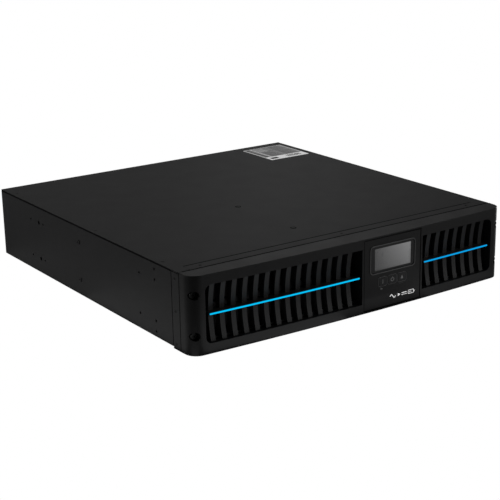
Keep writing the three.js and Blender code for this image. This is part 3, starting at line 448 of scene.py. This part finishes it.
def screw(radius, height, drive="cross"):
    """A pan head with a cross or a slot sunk into its crown. Its seat is at height 0."""
    sides, rings = 24, 7
    verts = [(0, 0, 0)]
    faces = []
    rim = 0.45  # the upright rim's share of the height
    profile = [(radius, 0), (radius, height * rim)]
    for i in range(1, rings):
        share = 1 - i / rings
        profile.append((radius * share, height * (rim + (1 - rim) * math.sqrt(1 - share ** 2))))
    arm, reach, depth = radius * 0.15, radius * 0.68, height * 0.5
    for ring_radius, ring_height in profile:
        for x, y in outline_circle(0, 0, ring_radius, sides):
            in_slot = abs(y) < arm or (drive == "cross" and abs(x) < arm)
            sunk = depth if ring_height > height * 0.5 and in_slot and math.hypot(x, y) < reach else 0
            verts.append((x, y, ring_height - sunk))
    verts.append((0, 0, height - depth))
    last = len(verts) - 1
    faces += [(0, 1 + (i + 1) % sides, 1 + i) for i in range(sides)]
    for ring in range(len(profile) - 1):
        start = 1 + ring * sides
        for i in range(sides):
            j = (i + 1) % sides
            faces.append((start + i, start + j, start + sides + j, start + sides + i))
    faces += [(last - sides + i, last - sides + (i + 1) % sides, last) for i in range(sides)]
    return verts, faces


# ---------------------------------------------------------------- places, from the frame
def box_mm(node):
    """A node's lowest and highest corners in millimetres."""
    return [Vector(corner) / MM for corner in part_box(node)]


TRAY_LOW, TRAY_HIGH = box_mm("chassis_tray")
FRAME_LOW, FRAME_HIGH = box_mm("front_frame")
HOUSING_LOW, HOUSING_HIGH = box_mm("module_housing")
LID_HIGH = box_mm("top_cover")[1]
SEAM_Y = FRAME_LOW.y  # the bezel meets the front frame here
LID_TOP = LID_HIGH.z
REAR_Y = box_mm("rear_panel")[1].y
SIDES = (("-x", TRAY_LOW.x), ("+x", TRAY_HIGH.x))


# ---------------------------------------------------------------- control module
MODULE_PROUD = 0.4  # the display's rim stands in front of the module's face
MODULE_FACE_Y = HOUSING_LOW.y + MODULE_PROUD
KEY_BODIES = {"button_on": "on_key", "button_off": "off_key", "button_select": "select_key"}
INK = 0.06  # thickness of a printed mark


def printed(outline):
    """A printed mark with this outline."""
    return prism(outline, 0, INK)


def arc_point(x, z, radius, degrees):
    """A point on a circle round (x, z)."""
    angle = math.radians(degrees)
    return x + radius * math.cos(angle), z + radius * math.sin(angle)


def ribbon(points, width):
    """A printed line of a given width along points."""
    sides = ([], [])
    for i, point in enumerate(points):
        before, after = points[max(i - 1, 0)], points[min(i + 1, len(points) - 1)]
        forward = Vector((after[0] - before[0], after[1] - before[1])).normalized()
        for side, sign in zip(sides, (1, -1)):
            side.append((point[0] + sign * forward.y * width / 2, point[1] - sign * forward.x * width / 2))
    return printed(sides[0] + sides[1][::-1])


def on_module(shape):
    """A shape on the module's face."""
    return placed(shape, (0, MODULE_FACE_Y, 0), "-y")


def display_painted_reflection(left, right, low, high):
    """The display's grey view area, with a painted glow standing in for the reflection of the lights,
    brighter towards its top right corner.
    """
    made = finish("display_film", (0.16, 0.16, 0.162), 0.3, vary=0.03, depth=0)
    tree = made.node_tree
    surface = tree.nodes["Principled BSDF"]
    dark, bright = (0.052, 0.052, 0.052), (0.21, 0.21, 0.212)
    glow = blended(tree, along(tree, "X", left, right), dark, bright)
    tree.links.new(glow, surface.inputs["Emission Color"])
    upward = ranged(tree, along(tree, "Z", low, high), 0.84, 1.26, 0, 1)
    tree.links.new(upward, surface.inputs["Emission Strength"])
    return made


def display_details():
    """A printed mask on the lens round the view area, the grey film behind it with its painted reflection,
    and the lens's rim with its painted highlight.
    """
    low, high = box_mm("display_lens")
    lcd_low, lcd_high = box_mm("lcd_panel")
    middle = (low + high) / 2
    lens_width, lens_height = high.x - low.x, high.z - low.z
    shift, less_width, less_height = 0.6, 5.0, 2.6  # the view area against the display's panel
    view_corner, lap = 0.4, 2  # the film runs on past the view area by half the lap each way
    x, z = (lcd_low.x + lcd_high.x) / 2 + shift, (lcd_low.z + lcd_high.z) / 2
    width, height = lcd_high.x - lcd_low.x - less_width, lcd_high.z - lcd_low.z - less_height

    mask_outer = outline_box(middle.x, middle.z, lens_width - 0.1, lens_height - 0.1, 3.2)
    mask_inner = outline_box(x, z, width, height, view_corner)
    mask = placed(frame_prism(mask_outer, mask_inner, 0.03, 0.13), (0, low.y, 0), "-y")
    piece("display_mask", [mask], MASK_INK, "control_module")

    film_outline = outline_box(x, z, width + lap, height + lap, view_corner)
    film = placed(prism(film_outline, -0.15, 0), (0, high.y + 0.05, 0), "-y")
    view = display_painted_reflection(x - width / 2, x + width / 2, z - height / 2, z + height / 2)
    piece("display_film", [film], view, "control_module")

    rim_outer = outline_box(middle.x, middle.z, lens_width + 3.4, lens_height + 3.4, 4.6, 8)
    rim_inner = outline_box(middle.x, middle.z, lens_width + 1.2, lens_height + 1.2, 3.6, 8)
    rim = placed(frame_prism(rim_outer, rim_inner, -0.1, 0.32), (0, HOUSING_LOW.y, 0), "-y")
    piece("display_rim", [rim], RIM_PAINTED_HIGHLIGHT, "control_module", edge=0.3)


def key_mark(node, x, z):
    """A bar for on, a broken ring with a bar for off, and an arrowhead for select."""
    if node == "button_on":
        return [printed(outline_box(x, z, 0.7, 4.8, 0.34))]
    if node == "button_off":
        ring = [arc_point(x, z, 2.1, -235 + 290 * i / 18) for i in range(19)]
        return [ribbon(ring, 0.6), printed(outline_box(x, z + 1.9, 0.6, 2.4, 0.29))]
    return [printed([(x - 1.9, z - 1.7), (x + 1.9, z - 1.7), (x, z + 2.1)])]


def key_details():
    """A raised rim round each key with a painted highlight, and its mark."""
    for node, body in KEY_BODIES.items():
        low, high = box_mm(node)
        x, z = (low.x + high.x) / 2, (low.z + high.z) / 2
        outer, inner = outline_box(x, z, 13.1, 11.3, 2.4), outline_box(x, z, 12.0, 10.2, 1.8)
        rim = on_module(frame_prism(outer, inner, -0.1, 0.22))
        piece(f"{node}_rim", [rim], RIM_PAINTED_HIGHLIGHT, "control_module", edge=0.1)
        marks = [placed(mark, (0, low.y, 0), "-y") for mark in key_mark(node, x, z)]
        piece(f"{node}_mark", marks, KEY_INK, body)


def front_symbols():
    """General electrical symbols on the module, and small dashes below its outer keys.

    The symbols are alternating current, an arrow, direct current and a battery's charge.
    """
    x, z = 60.5, 13.4  # the middle of the row of symbols
    wave = [(x - 18 + 8.4 * i / 24, z + 1.9 * math.sin(2 * math.pi * i / 24)) for i in range(25)]
    arrow = [(x - 6.4, z - 1.9), (x - 2.6, z), (x - 6.4, z + 1.9)]
    direct, battery = x + 3.0, x + 13.2
    shapes = [ribbon(wave, 0.95), printed(arrow)]
    shapes.append(printed(outline_box(direct, z + 1.1, 7.6, 0.9, 0.3)))
    shapes += [printed(outline_box(direct + dx, z - 1.1, 1.9, 0.9, 0.3)) for dx in (-2.85, 0, 2.85)]
    case_outer, case_inner = outline_box(battery, z, 8.6, 4.8, 0.9), outline_box(battery, z, 7.4, 3.6, 0.4)
    shapes.append(frame_prism(case_outer, case_inner, 0, INK))
    shapes.append(printed(outline_box(x + 18.1, z, 0.9, 2.0, 0.3)))
    shapes += [printed(outline_box(x + 11.0 + 2.2 * i, z, 0.8, 2.0)) for i in range(2)]
    # the symbols' white print carries a painted glow
    piece("module_symbols", [on_module(shape) for shape in shapes], PRINT_WHITE_PAINTED_GLOW, "control_module")
    below_on = (outline_box(29.9, 25.4, 3.4, 1.1, 0.5), outline_box(28.9, 26.6, 1.3, 0.9, 0.3))
    dashes = [on_module(printed(outline)) for outline in below_on]
    piece("module_small_mark", dashes, PRINT_DIM, "control_module")
    below_select = on_module(printed(outline_box(59.2, 26.6, 6.2, 0.6, 0.25)))
    piece("module_underline", [below_select], PRINT_FAINT, "control_module")


# ---------------------------------------------------------------- seams and fasteners of the case
SUNK, PROUD = -0.3, 0.03  # where a strip of painted shade starts and ends, against the surface that it lies in


def seam_painted_shade():
    """Near-black strips of painted shade in the lid's front and side seams, in the bezel's back seam and
    round the module.
    """
    on_top = (
        outline_box(0, SEAM_Y + 14.5, 2 * (LID_HIGH.x - 17), 1.7),
        outline_box(0, SEAM_Y - 0.4, 2 * LID_HIGH.x - 8, 2.2),
    )
    strips = [placed(prism(outline, SUNK, PROUD), (0, 0, LID_TOP), "+z") for outline in on_top]

    side_sunk, lap = -0.4, 0.1
    low, high = TRAY_HIGH.z - lap, LID_TOP - 0.6
    lid_side = outline_box(0, (low + high) / 2, TRAY_HIGH.y - TRAY_LOW.y - 1, high - low, 0.2)
    bezel_side = outline_box(0, (FRAME_HIGH.z + FRAME_LOW.z) / 2, 1.2, FRAME_HIGH.z - FRAME_LOW.z - 2, 0.2)
    tray_middle = (TRAY_HIGH.y + TRAY_LOW.y) / 2
    for outline, y in ((lid_side, tray_middle), (bezel_side, SEAM_Y - 0.45)):
        strips += [placed(prism(outline, side_sunk, PROUD), (x, y, 0), facing) for facing, x in SIDES]
    piece("lid_seam_shade", strips, FOAM_AND_PAINTED_SHADE)

    middle = (HOUSING_LOW + HOUSING_HIGH) / 2
    width, height = HOUSING_HIGH.x - HOUSING_LOW.x, HOUSING_HIGH.z - HOUSING_LOW.z
    outer = outline_box(middle.x, middle.z, width - 0.1, height - 0.1, 0.6)
    inner = outline_box(middle.x, middle.z, width - 1.5, height - 1.5, 0.4)
    ring = on_module(frame_prism(outer, inner, SUNK, PROUD))
    piece("module_seam_shade", [ring], FOAM_AND_PAINTED_SHADE, "control_module")


def air_filters():
    """Black foam behind each grille, in the gap between the bezel and the front frame. Near-black, it is
    also painted shade in the gaps between the fins.
    """
    sheets = []
    for node in ("grille_left", "grille_right"):
        low, high = box_mm(node)
        middle = (low + high) / 2
        outline = outline_box(middle.x, middle.z, high.x - low.x + 6, high.z - low.z + 3)
        sheets.append(placed(prism(outline, 0.1, 0.7), (0, SEAM_Y, 0), "-y"))
    piece("air_filters", sheets, FOAM_AND_PAINTED_SHADE)


FRAME_SCREWS = (8.2, (79.1, 43.3, 7.5))  # distance behind the seam, and heights
SIDE_SCREWS = (220.5, (67.3, 21.4))
RACK_EAR_HOLES = ((81.6, (66.8, 20.9)), (48.4, (79.3, 67.7, 21.1, 9)))


def on_sides(shape, back, heights, sunk=0.0):
    """A shape on both sides, at a distance behind the seam and at each height, sunk into the wall."""
    return [
        placed(shape, (x - math.copysign(sunk, x), SEAM_Y + back, z), facing)
        for facing, x in SIDES for z in heights
    ]


def side_fasteners():
    """Screws in the front frame and in the middle of each side, and the threads in the rack ears' holes."""
    small, countersink = screw(1.9, 0.9), 0.55
    frame_screws = on_sides(small, *FRAME_SCREWS, countersink)
    frame_screws += [placed(small, (x, SEAM_Y + 7, LID_TOP - countersink), "+z") for x in (-188, -1, 188)]
    piece("frame_screws", frame_screws, BLACK_SCREW, edge=0.08)
    side_screws = on_sides(screw(2.6, 1.2), *SIDE_SCREWS)
    piece("side_screws", side_screws, FINISHES["black_steel"], edge=0.12)
    thread = frame_prism(outline_circle(0, 0, 2.05, 16), outline_circle(0, 0, 1.3, 16), -0.9, -0.25)
    threads = [ring for back, heights in RACK_EAR_HOLES for ring in on_sides(thread, back, heights)]
    piece("hole_threads", threads, FINISHES["black_steel"])


def lid_fasteners():
    """Rivets along the lid's sides and two in its middle, each of those two in a black ring of painted shade
    for a dimple.
    """
    rivet = lathe([(0, 0), (2.5, 0), (2.4, 0.25), (1.6, 0.5), (0, 0.55)])
    along_sides = [(side * 212, SEAM_Y + back) for side in (-1, 1) for back in (42.5, 190, 398)]
    in_middle = [(-28, SEAM_Y + 171.8), (-29.7, SEAM_Y + 58.2)]
    rivets = [placed(rivet, (x, y, LID_TOP - 0.3), "+z") for x, y in along_sides + in_middle]
    piece("lid_rivets", rivets, BLACK_SCREW)
    dimple = frame_prism(outline_circle(0, 0, 3.6), outline_circle(0, 0, 2.4), -0.2, 0.02)
    dimples = [placed(dimple, (x, y, LID_TOP), "+z") for x, y in in_middle]
    piece("lid_dimple_shade", dimples, FOAM_AND_PAINTED_SHADE)


def rear_and_floor_screws():
    """Screws round the rear panel and along both sides of the floor."""
    rear_spots = [(side * 213.5, z) for side in (-1, 1) for z in (12, 44, 70)]
    rear_spots += [(x, 83.4) for x in (-150, -50, 60, 124)]
    rear_screws = [placed(screw(2.6, 1.3), (x, REAR_Y, z), "+y") for x, z in rear_spots]
    piece("rear_screws", rear_screws, BLACK_SCREW, edge=0.12)
    floor_spots = [(side * 206, y) for side in (-1, 1) for y in (-170, -60, 60, 190)]
    floor_screws = [placed(screw(2.6, 1.1), (x, y, TRAY_LOW.z), "-z") for x, y in floor_spots]
    piece("floor_screws", floor_screws, BLACK_SCREW, edge=0.12)


# ---------------------------------------------------------------- rating label
def label_print():
    """Rows of plain bars in columns, and patches on the light strip in front of them. None is lettering."""
    low, high = box_mm("rating_label")
    width, depth = high.x - low.x, high.y - low.y

    def on_label(outline, bottom, top):
        """A printed layer on the label, its outline measured from the label's front left corner."""
        return placed(prism(outline, bottom, top), (low.x, low.y, high.z), "+z")

    strip = 0.22 * depth
    block_y, block_depth = (strip + depth) / 2, depth - strip - 2
    blocks = [
        on_label(outline_box(width * middle, block_y, width * share, block_depth, 0.6), 0, 0.03)
        for middle, share in ((0.58, 0.8), (0.085, 0.15))
    ]
    # the grey panels and the light patch glow a little: painted light on the print
    piece("label_panel", blocks, PRINT_GREY_PAINTED_GLOW)
    light = outline_box(width * 0.33, depth * 0.8, width * 0.24, depth * 0.26, 0.6)
    piece("label_light_patch", [on_label(light, 0.03, 0.05)], PRINT_LIGHT_PAINTED_GLOW)
    bars = []
    rows = 15
    for row in range(rows):
        y = strip + 3.5 + row * (depth - strip - 7) / (rows - 1)
        for column in range(2):
            start = width * (0.21 + 0.39 * column)
            length = width * (0.34 - 0.16 * ((row * 5 + column * 3) % 4) / 4)
            bars.append(on_label(outline_box(start + length / 2, y, length, 1.0), 0.03, 0.06))
    for i in range(6):
        bars.append(on_label(outline_box(5.6, strip + 6 + i * 8.6, 6.4, 3.2, 0.4), 0, 0.04))
    piece("label_bars", bars, PRINT_BLACK)
    patches = [on_label(outline_box(9.6, strip / 2, 12, strip * 0.5, 0.4), 0, 0.04)]
    x = width * 0.5
    for i in range(20):
        bar = 0.35 + 0.3 * ((i * 7) % 3)
        patches.append(on_label(outline_box(x, strip / 2 + 1, bar, strip * 0.62), 0, 0.04))
        x += bar + 0.55
    piece("label_patches", patches, PRINT_BLACK)


# ---------------------------------------------------------------- rear
BLADES = 7
HUB_TOP = 17.5  # above the rotor's foot, inside the hub's raised rim
HUB_PROFILE = ((0, 0), (16.9, 0), (16.9, 16.4), (16.2, 17.6), (14.4, 18), (13.6, HUB_TOP), (0, HUB_TOP))
FAN_HOLES = 35.5  # a fan's screws, from its middle, each way


def fan_details():
    """Curved blades, a hub with its paper disc, and a bright wire guard with screws, for each fan."""
    for name, body in (("fan_right", "right_fan"), ("fan_left", "left_fan")):
        frame_low, frame_high = box_mm(f"{name}_frame")
        x, z = (frame_low.x + frame_high.x) / 2, (frame_low.z + frame_high.z) / 2
        centre = (x, box_mm(f"{name}_rotor")[0].y, z)
        hub = lathe(HUB_PROFILE, 40)
        blades = [turned(fan_blade(), 2 * math.pi * i / BLADES) for i in range(BLADES)]
        rotor = [placed(shape, centre, "+y") for shape in [hub, *blades]]
        piece(f"{name}_blades", rotor, FINISHES["fan_plastic"], body, edge=0.25,
              replaces=(f"{name}_rotor",))
        disc_top = HUB_TOP + 0.12
        disc = lathe([(0, HUB_TOP), (12.4, HUB_TOP), (12.4, disc_top), (0, disc_top)], 40)
        piece(f"{name}_disc", [placed(disc, centre, "+y")], LABEL_PAPER, body)
        lines = [outline_box(0, 3.4 - 3.4 * i, 12 - 2.5 * i, 0.9) for i in range(3)]
        bars = [placed(prism(line, disc_top, disc_top + 0.04), centre, "+y") for line in lines]
        piece(f"{name}_disc_bars", bars, PRINT_BLACK, body)
        guard(name, x, z)


def fan_blade():
    """A blade with a camber and a twist, from the hub to the tip."""
    inner, outer, across, rows = 15.8, 36.3, 7, 7
    middle, lowest, highest = 9.2, 0.6, 17.4  # heights above the rotor's foot
    verts = []
    for side in (1, -1):
        for i in range(rows + 1):
            radius = inner + (outer - inner) * i / rows
            twist = math.radians(46 - 16 * i / rows)
            chord = 20 + 4 * i / rows
            sweep = 0.16 * (i / rows) ** 1.6
            for k in range(across + 1):
                share = k / across - 0.5
                camber = 2.6 * (0.25 - share ** 2) * 4
                thick = 0.75 * side * (1 - (2 * share) ** 2) ** 0.5 * 0.9 + 0.12 * side
                run = share * chord
                tangent = run * math.cos(twist) + (camber + thick) * math.sin(twist)
                height = middle + run * math.sin(twist) * 0.92 - (camber + thick) * math.cos(twist)
                angle = tangent / radius + sweep
                height = min(max(height, lowest), highest)
                verts.append((radius * math.cos(angle), radius * math.sin(angle), height))
    row = across + 1
    back = row * (rows + 1)
    faces = []
    for i in range(rows):
        for k in range(across):
            a = i * row + k
            faces.append((a, a + 1, a + row + 1, a + row))
            faces.append((back + a, back + a + row, back + a + row + 1, back + a + 1))
    for i in range(rows):
        for k in (0, across):
            a = i * row + k
            faces.append((a, a + row, back + a + row, back + a))
    for i in (0, rows):
        for k in range(across):
            a = i * row + k
            faces.append((a, a + 1, back + a + 1, back + a))
    return verts, faces


def guard(name, x, z):
    """A fan's finger guard: rings and four spokes of wire, with an eye under each of its four screws."""
    foot = box_mm(f"{name}_guard")[0].y
    wire, height, eye_radius = 0.85, 3.6, 3.5
    back, front = foot + wire, foot + height - wire - 0.15
    middle = Vector((x, back, z))
    shapes = []
    for radius in (11.5, 18, 24.5, 31, 37.2):
        ring = [arc_point(x, z, radius, 360 * i / 48) for i in range(48)]
        shapes.append(tube([(a, front, b) for a, b in ring], wire, closed=True))
    eye = FAN_HOLES * math.sqrt(2)
    for quarter in range(4):
        angle = math.radians(45 + 90 * quarter)
        out = Vector((math.cos(angle), 0, math.sin(angle)))
        spoke = [middle + out * reach for reach in (9.5, 20, 30, 38, eye - 4.2)]
        shapes.append(tube(spoke, wire))
        hole = middle + out * eye
        turn = [arc_point(hole.x, hole.z, eye_radius, 360 * i / 20) for i in range(20)]
        shapes.append(tube([(a, back, b) for a, b in turn], wire, closed=True))
    piece(f"{name}_wire_guard", shapes, FINISHES["bare_steel"], replaces=(f"{name}_guard",))
    seat = foot + 1.75
    holes = [(x + right * FAN_HOLES, z + up * FAN_HOLES) for right in (-1, 1) for up in (-1, 1)]
    heads = [placed(screw(3.3, 1.8), (a, seat, b), "+y") for a, b in holes]
    shank = prism(outline_circle(0, 0, 2.0, 12), -1.9, 0.2)
    shanks = [placed(shank, (a, seat, b), "+y") for a, b in holes]
    piece(f"{name}_screws", heads + shanks, BLACK_SCREW, edge=0.1)


OUTLET_BANKS = ("outlet_bank_lower", "outlet_bank_upper")
OUTLETS_IN_BANK = 4
SLOT_PLACES = ((-7, 1.4), (7, 1.4), (0, -2.4))  # an outlet's three slots, from its middle


def outlet_details():
    """Brass contacts at the bottom of each outlet's slots, and plain ribs between the outlets."""
    leaf = prism(outline_box(0, 0, 0.3, 3.8), 0, 6)
    contact_depth = 11.6
    for node in OUTLET_BANKS:
        low, high = box_mm(node)
        pitch = (high.x - low.x) / OUTLETS_IN_BANK
        z = (low.z + high.z) / 2
        contacts = []
        for i in range(OUTLETS_IN_BANK):
            x = low.x + pitch * (i + 0.5)
            for dx, dz in SLOT_PLACES:
                for side in (-0.75, 0.75):
                    contacts.append(placed(leaf, (x + dx + side, high.y - contact_depth, z + dz), "+y"))
        piece(f"{node}_contacts", contacts, BRASS)
        rib = prism(outline_box(0, 0, 0.7, high.z - low.z - 1.6), 0, 0.12)
        ribs = [placed(rib, (low.x + pitch * i, high.y, z), "+y") for i in range(1, OUTLETS_IN_BANK)]
        piece(f"{node}_ribs", ribs, FINISHES["socket_plastic"])


def jack_contacts():
    """Sprung contact wires in both data jacks."""
    low, high = box_mm("network_ports")
    wires = []
    for centre in (low.x + 9.3, high.x - 9.3):
        for i in range(8):
            x = centre - 3.6 + i * 1.03
            path = [(x, high.y - 3.2, 11.4), (x, high.y - 5.0, 12.0), (x, high.y - 11.4, 14.6)]
            wires.append(tube(path, 0.17, 6))
    piece("jack_contacts", wires, BRASS)


def serial_details():
    """The serial socket's insert, and the rims of its two rows of contacts."""
    low, high = box_mm("serial_port")
    x, z, face = (low.x + high.x) / 2, (low.z + high.z) / 2, high.y
    thick = 0.1
    insert_outline = [(-7.1, 3.1), (-6.1, -3.1), (6.1, -3.1), (7.1, 3.1)]
    insert = placed(prism(insert_outline, 0, thick), (x, face, z), "+y")
    piece("serial_insert", [insert], FINISHES["socket_plastic"], edge=0.04)
    spots = [(-5.5 + 2.75 * i, 1.4) for i in range(5)] + [(-4.1 + 2.75 * i, -1.4) for i in range(4)]
    rims = []
    for a, b in spots:
        rim = frame_prism(outline_circle(a, b, 0.8, 12), outline_circle(a, b, 0.45, 12), 0, thick)
        rims.append(placed(rim, (x, face + thick, z), "+y"))
    piece("serial_contacts", rims, BRASS)


def terminal_screws():
    """Two bright slotted screws on top of the terminal."""
    low, high = box_mm("epo_terminal")
    middle = (low.x + high.x) / 2
    head = screw(1.45, 0.7, "slot")
    heads = [placed(head, (middle + side * 2.8, REAR_Y + 3.2, high.z - 1.0), "+z") for side in (-1, 1)]
    piece("terminal_screws", heads, FINISHES["bare_steel"])


def slot_screws():
    """The slot cover's two thumb screws, each a fluted grip with a slotted head."""
    low, high = box_mm("slot_cover")
    z = (low.z + high.z) / 2
    flutes = 24
    crest, root, grip_start, grip_end = 4.6, 4.3, 1.3, 5.2
    outline = [arc_point(0, 0, crest if i % 2 else root, 180 * i / flutes) for i in range(2 * flutes)]
    shapes = []
    for x in (low.x + 7, high.x - 7):
        shapes.append(placed(prism(outline, grip_start, grip_end), (x, REAR_Y, z), "+y"))
        shapes.append(placed(screw(3.0, 0.9, "slot"), (x, REAR_Y + grip_end, z), "+y"))
    piece("slot_screws", shapes, FINISHES["bare_steel"], edge=0.1)


def rear_symbols():
    """Plain marks on the rear: an earth symbol, a wave at the inlet, and a dash above each outlet."""
    earth_x, earth_z = -42.5, 30.6
    inlet_x, inlet_z = -62, 42
    earth = [printed(outline_box(0, 1.6, 0.5, 2.2))]
    earth += [printed(outline_box(0, 0.4 - 1.1 * i, 4.4 - 1.4 * i, 0.5)) for i in range(3)]
    shapes = [placed(shape, (earth_x, REAR_Y, earth_z), "+y") for shape in earth]
    wave = [(-3.4 + 6.8 * i / 20, 1.1 * math.sin(2 * math.pi * i / 20)) for i in range(21)]
    shapes.append(placed(ribbon(wave, 0.6), (inlet_x, REAR_Y, inlet_z), "+y"))
    dash = printed(outline_box(0, 0, 14, 0.5))
    for node in OUTLET_BANKS:
        low, high = box_mm(node)
        for i in range(OUTLETS_IN_BANK):
            centre = low.x + (high.x - low.x) / OUTLETS_IN_BANK * (i + 0.5)
            shapes.append(placed(dash, (centre, REAR_Y, high.z + 2.4), "+y"))
    # the rear marks' white print carries a painted glow
    piece("rear_symbols", shapes, PRINT_WHITE_PAINTED_GLOW)


# ---------------------------------------------------------------- underside
def underside_details():
    """A moulded ring in each foot's sole, and two stiffening beads pressed into the floor."""
    rings = []
    for end in ("front", "rear"):
        for side in ("left", "right"):
            low, high = box_mm(f"foot_{end}_{side}")
            x, y = (low.x + high.x) / 2, (low.y + high.y) / 2
            ring = frame_prism(outline_circle(0, 0, 7.4, 32), outline_circle(0, 0, 6.6, 32), -0.1, 0.02)
            rings.append(placed(ring, (x, y, 0.04), "-z"))
    piece("foot_rings", rings, FINISHES["rubber"])
    length, width, line = 330, 150, 6
    beads = []
    for x in (-90, 90):
        outer = outline_box(x, 5, width, length, 12)
        inner = outline_box(x, 5, width - line, length - line, 9)
        beads.append(placed(frame_prism(outer, inner, -0.2, 0.7), (0, 0, TRAY_LOW.z), "-z"))
    piece("floor_beads", beads, FINISHES["black_steel"], edge=0.5)


# ---------------------------------------------------------------- studio
def soft_box(name, place, target, size, power):
    """A rectangular light at a place, turned towards a target, that the camera doesn't see."""
    data = bpy.data.lights.new(name, "AREA")
    data.shape = "RECTANGLE"
    data.size, data.size_y = size
    data.energy = power
    light = bpy.data.objects.new(name, data)
    light.visible_camera = False
    bpy.context.scene.collection.objects.link(light)
    light.location = place
    light.rotation_euler = (Vector(target) - Vector(place)).to_track_quat("-Z", "Y").to_euler()


SOFT_BOX_TARGET = (0, 0, 0.05)
SOFT_BOXES = [  # name, place, size in metres, watts
    ("back", (0.5, 1.5, 0.9), (1.6, 0.8), 1.0),
    ("back_right", (1.1, 1.1, 0.7), (0.8, 0.6), 0.5),
    ("back_low", (0.4, 1.5, 0.6), (0.8, 0.6), 0.12),
    ("right_front", (1.2, -1.5, 0.9), (0.8, 0.8), 7.2),
    ("right_front_low", (0.9, -1.4, 0.25), (0.8, 0.5), 0.8),
    ("left_back", (-1.7, 0.9, 0.9), (0.8, 0.8), 9.1),
]
FILL_HEIGHT = 0.045
LOW_FILLS = [  # lights below the lid's level, for the rear and the right side only: name, place, size, watts
    ("fill_rear", (0.04, 1.0, FILL_HEIGHT), (0.46, 0.06), 2.0),
    ("fill_right", (1.1, 0.05, FILL_HEIGHT), (0.4, 0.06), 3.0),
]
FLOOR_GLOW = [  # light that the bright paper throws up beside the object: name, x and y, size, watts
    ("glow_left_rear", (-0.262, 0.12), (0.08, 0.22), 0.0062),
    ("glow_left_front", (-0.262, -0.10), (0.08, 0.22), 0.014),
    ("glow_front_left", (-0.11, -0.272), (0.18, 0.08), 0.0205),
    ("glow_front_middle", (0.04, -0.277), (0.12, 0.08), 0.002),
    ("glow_front_wide", (0.05, -0.31), (0.14, 0.13), 0.01),
    ("glow_front_right", (0.16, -0.272), (0.12, 0.08), 0.0065),
    ("glow_corner", (-0.232, -0.243), (0.04, 0.04), 0.0014),
    ("glow_right", (0.27, 0.0), (0.08, 0.42), 0.02),
    ("glow_rear", (0.0, 0.29), (0.42, 0.08), 0.02),
]


def light_up():
    """Every light. The fills point level, and the floor's glow points straight up."""
    for name, place, size, power in SOFT_BOXES:
        soft_box(name, place, SOFT_BOX_TARGET, size, power)
    for name, place, size, power in LOW_FILLS:
        soft_box(name, place, (0, 0, FILL_HEIGHT), size, power)
    for name, (x, y), size, power in FLOOR_GLOW:
        soft_box(name, (x, y, 0.002), (x, y, 1), size, power)


def camera_sees(tree, seen, lit):
    """A shader that is one thing to the camera and another to the light in the room."""
    path = add_node(tree, "ShaderNodeLightPath")
    mix = add_node(tree, "ShaderNodeMixShader")
    tree.links.new(path.outputs["Is Camera Ray"], mix.inputs["Fac"])
    tree.links.new(lit.outputs[0], mix.inputs[1])
    tree.links.new(seen.outputs[0], mix.inputs[2])
    return mix.outputs[0]


def build_studio():
    """A white sweep under soft boxes. The room behind the camera is dim, as a photographer's studio is."""
    world = bpy.data.worlds.new("studio")
    bpy.context.scene.world = world
    world.use_nodes = True
    tree = world.node_tree
    white = add_node(tree, "ShaderNodeBackground", Color=(1, 1, 1, 1), Strength=1.0)
    dim = add_node(tree, "ShaderNodeBackground", Color=(1, 1, 1, 1), Strength=0.01)
    tree.links.new(camera_sees(tree, white, dim), tree.nodes["World Output"].inputs["Surface"])

    mesh = bpy.data.meshes.new("floor")
    reach = 6.0
    corners = [(x * reach, y * reach, 0) for x, y in ((-1, -1), (1, -1), (1, 1), (-1, 1))]
    mesh.from_pydata(corners, [], [(0, 1, 2, 3)])
    floor = bpy.data.objects.new("floor", mesh)
    bpy.context.scene.collection.objects.link(floor)
    paper = bpy.data.materials.new("paper_sweep")
    paper.use_nodes = True
    tree = paper.node_tree
    seen = add_node(tree, "ShaderNodeEmission", Color=(1, 1, 1, 1), Strength=1.0)
    lit = tree.nodes["Principled BSDF"]
    lit.inputs["Base Color"].default_value = (0.6, 0.6, 0.6, 1)
    lit.inputs["Roughness"].default_value = 0.9
    tree.links.new(camera_sees(tree, seen, lit), tree.nodes["Material Output"].inputs["Surface"])
    mesh.materials.append(paper)
    light_up()


CAMERA_PLACE = (-0.8664, -1.2777, 0.4991)
CAMERA_TURN = (-34.492, 17.257, -1.015)  # azimuth, elevation and roll in degrees
CAMERA_LENS = 93.02


def place_camera():
    """Stands the camera at the front left, a little above, with a long lens."""
    azimuth, elevation, roll = (math.radians(angle) for angle in CAMERA_TURN)
    level_reach = math.cos(elevation)
    back = Vector((
        math.sin(azimuth) * level_reach, -math.cos(azimuth) * level_reach, math.sin(elevation),
    ))
    level = Vector((math.cos(azimuth), math.sin(azimuth), 0))
    upright = back.cross(level)
    right = level * math.cos(roll) + upright * math.sin(roll)
    up = upright * math.cos(roll) - level * math.sin(roll)
    data = bpy.data.cameras.new("camera")
    data.sensor_width = 36
    data.lens = CAMERA_LENS
    camera = bpy.data.objects.new("camera", data)
    bpy.context.scene.collection.objects.link(camera)
    turn = Matrix((right, up, back)).transposed().to_4x4()
    camera.matrix_world = Matrix.Translation(CAMERA_PLACE) @ turn
    bpy.context.scene.camera = camera


# ---------------------------------------------------------------- the object
finish_nodes()
display_details()
key_details()
front_symbols()
seam_painted_shade()
air_filters()
side_fasteners()
lid_fasteners()
rear_and_floor_screws()
label_print()
fan_details()
outlet_details()
jack_contacts()
serial_details()
terminal_screws()
slot_screws()
rear_symbols()
underside_details()
build_studio()
place_camera()
bpy.context.scene.view_settings.view_transform = "Standard"
